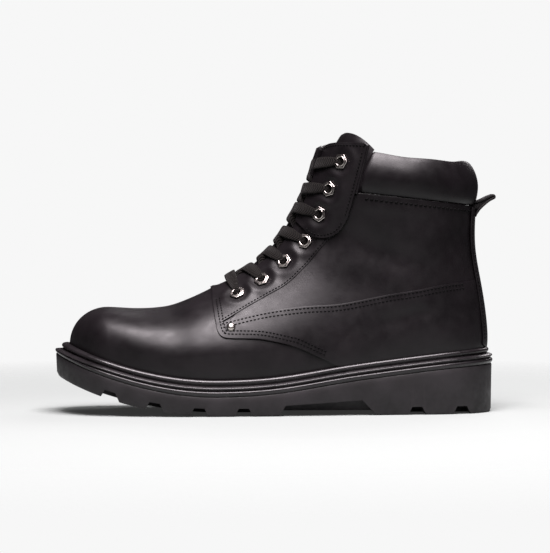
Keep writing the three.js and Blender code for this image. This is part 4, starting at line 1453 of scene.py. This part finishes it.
def build_stitches():
    rows = []
    for side in SIDES.values():
        edge = front_edge(side)[6:]
        for inset in (3.0, 5.4):
            rows.append(stitches_along(shifted(edge, side * inset)[2:-8], QUARTER_STEP + 0.1, *FRONT_STITCH))
        seam = side_line(SEAM, side)
        for inset in (1.4, 4.2):
            rows.append(stitches_along(shifted(seam, -side * inset)[2:], QUARTER_STEP + 0.1, *SEAM_STITCH))
        stay = side_line(EYESTAY, side)
        rows.append(stitches_along(shifted(stay, side * 1.3), QUARTER_STEP + 0.1, *EYESTAY_STITCH))
        bottom, right, top = patch_edges(side)[:3]
        rows.append(stitches_along(shifted(bottom[2:], side * 2.0)[:-3], PATCH_TOP + 0.1, *PATCH_STITCH))
        rows.append(stitches_along(shifted(right, side * 2.0)[1:-2], PATCH_TOP + 0.1, *PATCH_STITCH))
        rows.append(stitches_along(shifted(top, -side * 2.0)[2:-4], PATCH_TOP + 0.1, *PATCH_STITCH))
        collar = collar_seam_line(side)
        under_collar = shifted(collar, -side * 3.4)[4:-10]
        rows.append(stitches_along(under_collar, UNDER_PANEL + 0.15, *COLLAR_STITCH))
        heights = level_line(np.array([math.pi, math.pi]), lambda x: np.array(BACKSTAY_STITCH_Z))[:, 0]
        t = np.linspace(heights[0], heights[1], 90)
        edge = np.stack([t, phi_behind(t, np.full(90, side * (BACKSTAY_HALF - 2.0)))], -1)
        rows.append(stitches_along(edge, BACKSTAY_TOP + 0.12, *BACKSTAY_STITCH))
    piece = stitch_mesh("stitches", rows)
    settle(piece, THREAD, "braid")


# Studio

# Distances from the origin between which the floor fades out, in metres
FLOOR_FADE_START = 0.24
FLOOR_FADE_END = 0.66


def build_stage():
    deselect()
    bpy.ops.mesh.primitive_plane_add(size=4, location=(0, 0, 0))
    floor = bpy.context.object
    floor.name = "studio_floor"
    finish, tree, shader = new_finish(
        "studio_white", Roughness=0.9, Base_Color=(0.322, 0.350, 0.337, 1), Specular_IOR_Level=0.05,
        Emission_Color=(1, 1, 1, 1), Emission_Strength=0.03)
    reach = add_node(tree, "ShaderNodeVectorMath", {0: object_place(tree)}, operation="LENGTH")
    fade = between(tree, reach.outputs["Value"], 0.0, 1.0, FLOOR_FADE_START, FLOOR_FADE_END)
    clear = add_node(tree, "ShaderNodeBsdfTransparent")
    either = add_node(tree, "ShaderNodeMixShader", {0: fade, 1: shader.outputs[0], 2: clear.outputs[0]})
    tree.links.new(either.outputs[0], tree.nodes["Material Output"].inputs["Surface"])
    floor.data.materials.append(finish)
    world = bpy.data.worlds.new("studio")
    bpy.context.scene.world = world
    world.use_nodes = True
    tree = world.node_tree
    room = tree.nodes["Background"]
    room.inputs["Color"].default_value = (0.035, 0.033, 0.035, 1)
    backdrop = add_node(tree, "ShaderNodeBackground", {"Color": (0.93, 0.93, 0.93, 1)})
    seen = add_node(tree, "ShaderNodeLightPath").outputs["Is Camera Ray"]
    either = add_node(tree, "ShaderNodeMixShader", {0: seen, 1: room.outputs[0], 2: backdrop.outputs[0]})
    tree.links.new(either.outputs[0], tree.nodes["World Output"].inputs["Surface"])


def add_light(name, place, target, size, power, colour=(1, 1, 1)):
    lamp = bpy.data.lights.new(name, "AREA")
    lamp.shape = "RECTANGLE"
    lamp.size = size[0]
    lamp.size_y = size[1]
    lamp.energy = power
    lamp.color = colour
    holder = bpy.data.objects.new(name, lamp)
    bpy.context.collection.objects.link(holder)
    aim(holder, place, target)


def build_lights():
    add_light("key_softbox", (0.02, -0.86, 1.24), (0.03, 0, 0.09), (0.8, 0.75), 28.5, (1, 0.92, 0.955))
    add_light("top_softbox", (0.10, -0.36, 1.5), (0.03, 0, 0.05), (0.95, 0.55), 41.5, (1, 0.92, 0.955))
    add_light("back_softbox", (0.5, 1.2, 0.9), (0, 0, 0.1), (0.9, 0.7), 9, (1, 0.95, 0.97))


def aim(holder, place, target):
    holder.location = place
    holder.rotation_euler = (Vector(target) - Vector(place)).to_track_quat("-Z", "Y").to_euler()


CAMERA_PLACE = (-0.090, -2.0, 0.148)
CAMERA_TARGET = (-0.0005, 0, 0.094)
CAMERA_LENS = 188


def build_camera():
    """The photograph's standpoint, turned to the one boot and drawn closer by the lens alone."""
    camera = bpy.data.cameras.new("photo_camera")
    camera.sensor_fit = "HORIZONTAL"
    camera.sensor_width = 36
    camera.lens = CAMERA_LENS
    holder = bpy.data.objects.new("photo_camera", camera)
    bpy.context.collection.objects.link(holder)
    aim(holder, CAMERA_PLACE, CAMERA_TARGET)
    bpy.context.scene.camera = holder
    bpy.context.scene.view_settings.view_transform = "Standard"


build_camera()
build_stage()
build_lights()
build_outsole()
build_midsole()
build_insole()
build_vamp()
build_quarters()
build_backstay()
build_collar()
build_tongue()
build_metal()
build_laces()
build_pull_loop()
build_piping()
build_stitches()
